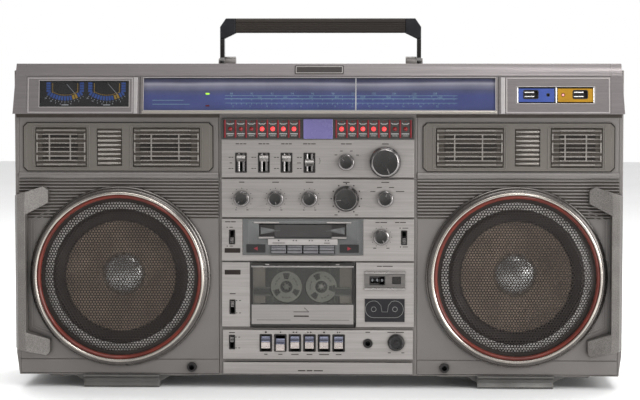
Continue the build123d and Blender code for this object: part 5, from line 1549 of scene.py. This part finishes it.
def baffle_ribs():
    """Rounded ribs across each baffle, cut short where the woofer's bezel stands, under a wide band."""
    for side, sign in SIDES:
        ribs = Shape()
        band = [(BAFFLE_Y, 254.9), (-81.0, 255.0), (-82.2, 256.6), (-82.6, 258.6), (-82.2, 260.6),
            (-81.0, 262.2), (BAFFLE_Y, 262.4)]
        ribs.prism_x(band, *sided(sign, *RIB_X))
        for i in range(RIBS):
            top = RIB_TOP - RIB_PITCH * i
            ribs.look = 0
            section = rib_section(top - 2.9, top - 0.3, 1.7)
            drop = abs(top - 1.6 - WOOFER_Z)
            reach = sqrt(max(0.0, RIB_REACH ** 2 - drop ** 2))
            spans = [(RIB_X[0], WOOFER_X - reach), (WOOFER_X + reach, RIB_X[1])] if reach else [RIB_X]
            for span_x in spans:
                ribs.prism_x(section, *sided(sign, *span_x))
            # painted shade: thin brown strips between the ribs darken the grooves
            ribs.look = 1
            for span_x in spans:
                ribs.box(*sided(sign, *span_x), -80.15, BAFFLE_Y, top - 4.3, top - 2.8)
        make(side + "_baffle_ribs", ribs, [SILVER, PAINTED_SHADE_BROWN], "cabinet")
        ridge = Shape(Matrix.Scale(sign, 4, (1, 0, 0)))
        for tip, root, low_tip, low_root in GUARD_PRONGS:
            mid_tip = ((tip[0] + low_tip[0]) / 2, (tip[1] * CREST + low_tip[1] * (1 - CREST)))
            mid_root = ((root[0] + low_root[0]) / 2, (root[1] * CREST + low_root[1] * (1 - CREST)))
            front = [(tip[0], -90.2, tip[1]), (mid_tip[0], -91.4, mid_tip[1]),
                (low_tip[0], -90.2, low_tip[1])]
            roots = [(root[0], -99.2, root[1]), (mid_root[0], -99.9, mid_root[1]),
                (low_root[0], -99.2, low_root[1])]
            ridge.add([*front, *roots], [(0, 1, 4, 3), (1, 2, 5, 4), (0, 3, 5, 2), (0, 2, 1), (3, 4, 5)])
        make(side + "_guard_facets", ridge, GUARD, "cabinet")
        # painted shadow: a dark brown strip under the visor's lip
        seam = Shape()
        seam.box(*sided(sign, 119.0, 366.0), -80.25, -79.9, 329.0, 333.3)
        make(side + "_visor_shadow_gap", seam, PAINTED_SHADE_BROWN, "cabinet")
        bead = Shape()
        path = [(326.0, 216.5), (341.0, 208.8), (348.8, 204.5), (348.8, 74.0), (341.0, 70.2), (324.0, 64.2)]
        bead.place = Matrix.Scale(sign, 4, (1, 0, 0))
        bead.stroke(path, 1.5, BAFFLE_Y, 0.9)
        bead.stroke([(x - 3.4, z + (-2.4 if z > 140 else 2.4)) for x, z in path], 0.8, BAFFLE_Y, 0.5)
        make(side + "_guard_bead", bead, SILVER, "cabinet")


# ---- handle ----
GRIP_HALF, GRIP_FOOT, CORNER_FOOT = 106.0, 432.5, 425.0


def handle_grip():
    """A dark grip with long grooves, between two black corner pieces."""
    _, x1, y0, y1, _, z1 = span("handle_grip")
    half, low = GRIP_HALF, GRIP_FOOT
    centre_y = (y0 + y1) / 2
    depth = (y1 - y0) / 2
    front = [(-depth + 1.2, low), (-depth + 0.3, low + 1.0)]
    for z in (low + 2.6, low + 5.4, low + 8.2, low + 11.0):
        front += [(-depth, z), (-depth, z + 0.7), (-depth + 0.8, z + 1.0), (-depth + 0.8, z + 1.7)]
    front += [(-depth, low + 13.2), (-depth, z1 - 2.6), (-depth + 0.8, z1 - 0.8), (-depth + 2.6, z1)]
    outline = [*front, *[(-y, z) for y, z in reversed(front)]]
    grip = Shape()
    grip.prism_x([(centre_y + y, z) for y, z in outline], -half, half)
    make("grip_ribbed_sleeve", grip, HANDLE, "handle", replaces=["handle_grip"], bevel=0.2)
    ends = Shape()
    foot, out = CORNER_FOOT, x1
    outline = [(out, foot), (out, z1 - 10.7), (out - 7.3, z1), (half, z1), (half, low - 0.4),
        (out - 5.3, foot)]
    for sign in (-1, 1):
        loops = []
        for y, inset in ((y0, 0.9), (y0 + 1.2, 0.0), (y1 - 1.2, 0.0), (y1, 0.9)):
            cx, cz = out - 8.0, z1 - 9.0
            loops.append([(sign * (x + (cx - x) * inset / 12), y, z + (cz - z) * inset / 12) for x,
                z in outline])
        ends.loft(loops)
    make("grip_corner_pieces", ends, CORNER, "handle", bevel=0.5)
    pads = Shape()
    for sign in (-1, 1):
        a, b = sorted((sign * 120.2, sign * 126.0))
        pads.prism_y(rounded(a, b, 395.2, 401.5, 0.6), centre_y - 7.4, centre_y - 6.9)
    make("arm_foot_plates", pads, STEEL, "handle", bevel=0.1)


# ---- rear ----
REAR_Y = 97.0                # the rear cabinet's outer face
JACK_Y = 89.0                # the floor of the socket recess


def rear_details():
    """Screws, vent slots, a socket plate and ribs on the battery cover."""
    back = REAR_Y
    screws, slots = Shape(), Shape()
    for x in (-352, -120, 120, 352):
        for z in (24.5, 240.0, 362.0):
            screws.look = 1
            screws.lathe(x, z, [(5.4, back + 0.1), (5.4, back + 0.5), (4.2, back + 0.7), (4.2, back + 0.1)],
                24, closed=True)
            screws.look = 0
            screws.lathe(x, z, [(0, back + 1.3), (2.24, back + 1.15), (3.2, back + 0.4), (3.2, back)], 24)
            screws.look = 1
            for turn in (0, 90):
                angle = radians(turn + 20)
                dx, dz = 2.0 * cos(angle), 2.0 * sin(angle)
                screws.stroke([(x - dx, z - dz), (x + dx, z + dz)], 0.6, back + 1.42, 0.14)
    make("rear_screws", screws, [STEEL, BLACK], "cabinet")
    # painted shade: the vent slots are dark plates on the solid back, not openings
    for sign in (-1, 1):
        for i in range(12):
            z = 176 + 7.2 * i
            a, b = sorted((sign * 200, sign * 318))
            slots.prism_y(rounded(a, b, z, z + 3.2, 1.5), back, back + 0.35)
    for i in range(9):
        z = 272 + 7.2 * i
        slots.prism_y(rounded(-80, 80, z, z + 3.2, 1.5), back, back + 0.35)
    make("rear_vent_slot_shade", slots, PAINTED_RECESS_SHADE, "cabinet")
    frames = Shape()
    for a, b, low, high in ((-322, -196, 170, 262), (196, 322, 170, 262), (-84, 84, 268, 336)):
        outer = rounded(a, b, low, high, 4)
        inner = rounded(a + 2, b - 2, low + 2, high - 2, 3)
        frames.ring(outer, inner, back, back + 0.8)
    make("rear_vent_frames", frames, SILVER, "cabinet", bevel=0.2)
    ribs = Shape()
    x0, x1, _, y1, z0, z1 = span("battery_cover")
    for i in range(15):
        x = x0 + 30 + (x1 - x0 - 60) * i / 14
        ribs.prism_x([(y1 - 0.3, z0 + 12), (y1 + 0.3, z0 + 13), (y1 + 0.3, z1 - 24), (y1 - 0.3, z1 - 23)],
            x - 1.1, x + 1.1)
    for x in (-90, 90):
        for i in range(5):
            ribs.box(x - 12, x + 12, y1 - 0.2, y1 + 0.35, z1 - 14 + 2.2 * i, z1 - 13 + 2.2 * i)
    make("battery_cover_ribs", ribs, SILVER, "battery_cover", bevel=0.2)
    recess = Shape()
    for i in range(4):
        for j in range(2):
            x, z = -282 + 19 * i, 66 + 26 * j
            recess.look = 0
            recess.lathe(x, z, [(5.4, JACK_Y), (5.4, JACK_Y + 5.6), (4.4, JACK_Y + 6.2), (3.4, JACK_Y + 6.2),
                (3.4, JACK_Y)], 32, closed=True)
            recess.look = 1 if j else 2
            recess.lathe(x, z, [(0, JACK_Y + 4.0), (3.2, JACK_Y + 4.0), (3.2, JACK_Y)], 32)
            recess.look = 3
            recess.lathe(x, z, [(0, JACK_Y + 4.3), (1.3, JACK_Y + 4.3), (1.3, JACK_Y + 3.9)], 16)
    recess.look = 3
    recess.plate(-326, -204, 58, 102, JACK_Y, JACK_Y + 0.6, [(-319, -295, 71, 89)])
    make("rear_socket_row", recess, [STEEL, RED_RING, REEL, BLACK], "cabinet")


def build_pieces():
    for build in (dial_scales, level_meters, pointer, power_panel, visor_trim, lamp_display, knobs, levers,
            slides, deck_keys, tape2_keys, upper_deck, upper_flap, lower_deck_door, cassette_details):
        build()
    reel("supply_reel", 90)
    reel("take_up_reel", 112)
    for build in (counter, run_indicator, panel_prints, woofers, louvre_panels, baffle_ribs, handle_grip,
            rear_details):
        build()


DRESSED = {                  # material, rounding in millimetres and its steps, for each CAD node that stays
    "front_cabinet": (SILVER, 0.8, 3), "rear_cabinet": (SILVER, 0.8, 3), "speaker_baffles": (SILVER, 0.3),
    "tuner_visor": (VISOR, 0.5, 3), "visor_windows": (PANE,), "control_panels": (ALUMINIUM, 0.3),
    "side_guards": (GUARD, 0.9, 3), "feet": (FOOT, 0.6), "jack_sockets": (SATIN_BLACK,),
    "tape_mechanisms": (STEEL,), "electronics": (BOARD,), "handle_arms": (ARM, 0.5),
    "cassette_shell": (SMOKE, 0.3), "counter_reset_button": (SATIN_BLACK, 0.5),
    "spare_tape_drawer": (ALUMINIUM, 0.35), "antenna_mast": (CHROME,), "antenna_rod": (CHROME,),
    "battery_cover": (SILVER, 0.6),
}


# ---- floor, light and camera ----
MIDDLE = (0.0, -0.05, 0.2)
LIGHTS = (                   # name, place, target, size in metres and power in watts
    ("right_key", (2.3, -1.5, 1.0), MIDDLE, (0.9, 1.6), 44),
    ("top_light", (0.3, -1.1, 2.4), (0.0, -0.1, 0.2), (2.2, 0.9), 22),
    ("brow_light", (0.6, -2.4, 1.85), (0.2, -0.1, 0.39), (0.6, 0.35), 10),
    ("left_fill", (-2.0, -2.2, 0.7), MIDDLE, (0.7, 1.2), 4),
    ("floor_light", (0.0, 0.9, 2.4), (0.0, 0.2, 0.0), (3.2, 1.4), 60),
    ("low_right", (1.5, -2.4, 0.25), (0.1, -0.1, 0.15), (0.8, 0.4), 9),
)


def area_light(name, place, target, size, power):
    light = bpy.data.lights.new(name, "AREA")
    light.shape = "RECTANGLE"
    light.size, light.size_y = size
    light.energy = power
    lamp = bpy.data.objects.new(name, light)
    bpy.context.scene.collection.objects.link(lamp)
    lamp.location = place
    lamp.rotation_euler = (Vector(target) - Vector(place)).to_track_quat("-Z", "Y").to_euler()


def stage():
    """A pale floor, soft studio light and the camera."""
    floor = Shape()
    floor.prism_z([(-6000, -6000), (6000, -6000), (6000, 6000), (-6000, 6000)], -20, -0.3)
    mesh = bpy.data.meshes.new("floor")
    mesh.from_pydata([p * MM for p in floor.points], [], floor.faces)
    ground = bpy.data.objects.new("floor", mesh)
    ground.data.materials.append(PALE_FLOOR)
    bpy.context.scene.collection.objects.link(ground)
    world = bpy.data.worlds.new("studio")
    bpy.context.scene.world = world
    world.use_nodes = True
    tree = world.node_tree
    background = tree.nodes["Background"]
    where = tree.nodes.new("ShaderNodeTexCoord").outputs["Generated"]
    split = tree.nodes.new("ShaderNodeSeparateXYZ")
    tree.links.new(where, split.inputs["Vector"])
    glow = ranged(tree, split.outputs["Y"], *WORLD_FADE, WORLD_FRONT, 1.0)
    tree.links.new(glow, background.inputs["Strength"])
    background.inputs["Color"].default_value = (1, 1, 1, 1)
    scene = bpy.context.scene
    scene.view_settings.view_transform = "Standard"
    for light in LIGHTS:
        area_light(*light)
    camera = bpy.data.cameras.new("camera")
    camera.lens = LENS
    camera.sensor_width = SENSOR
    camera.clip_end = 50
    eye = bpy.data.objects.new("camera", camera)
    scene.collection.objects.link(eye)
    eye.location = EYE
    eye.rotation_euler = (Vector(AIM) - eye.location).to_track_quat("-Z", "Y").to_euler()
    scene.camera = eye


build_pieces()
for node, finish in DRESSED.items():
    dress(node, *finish)
stage()
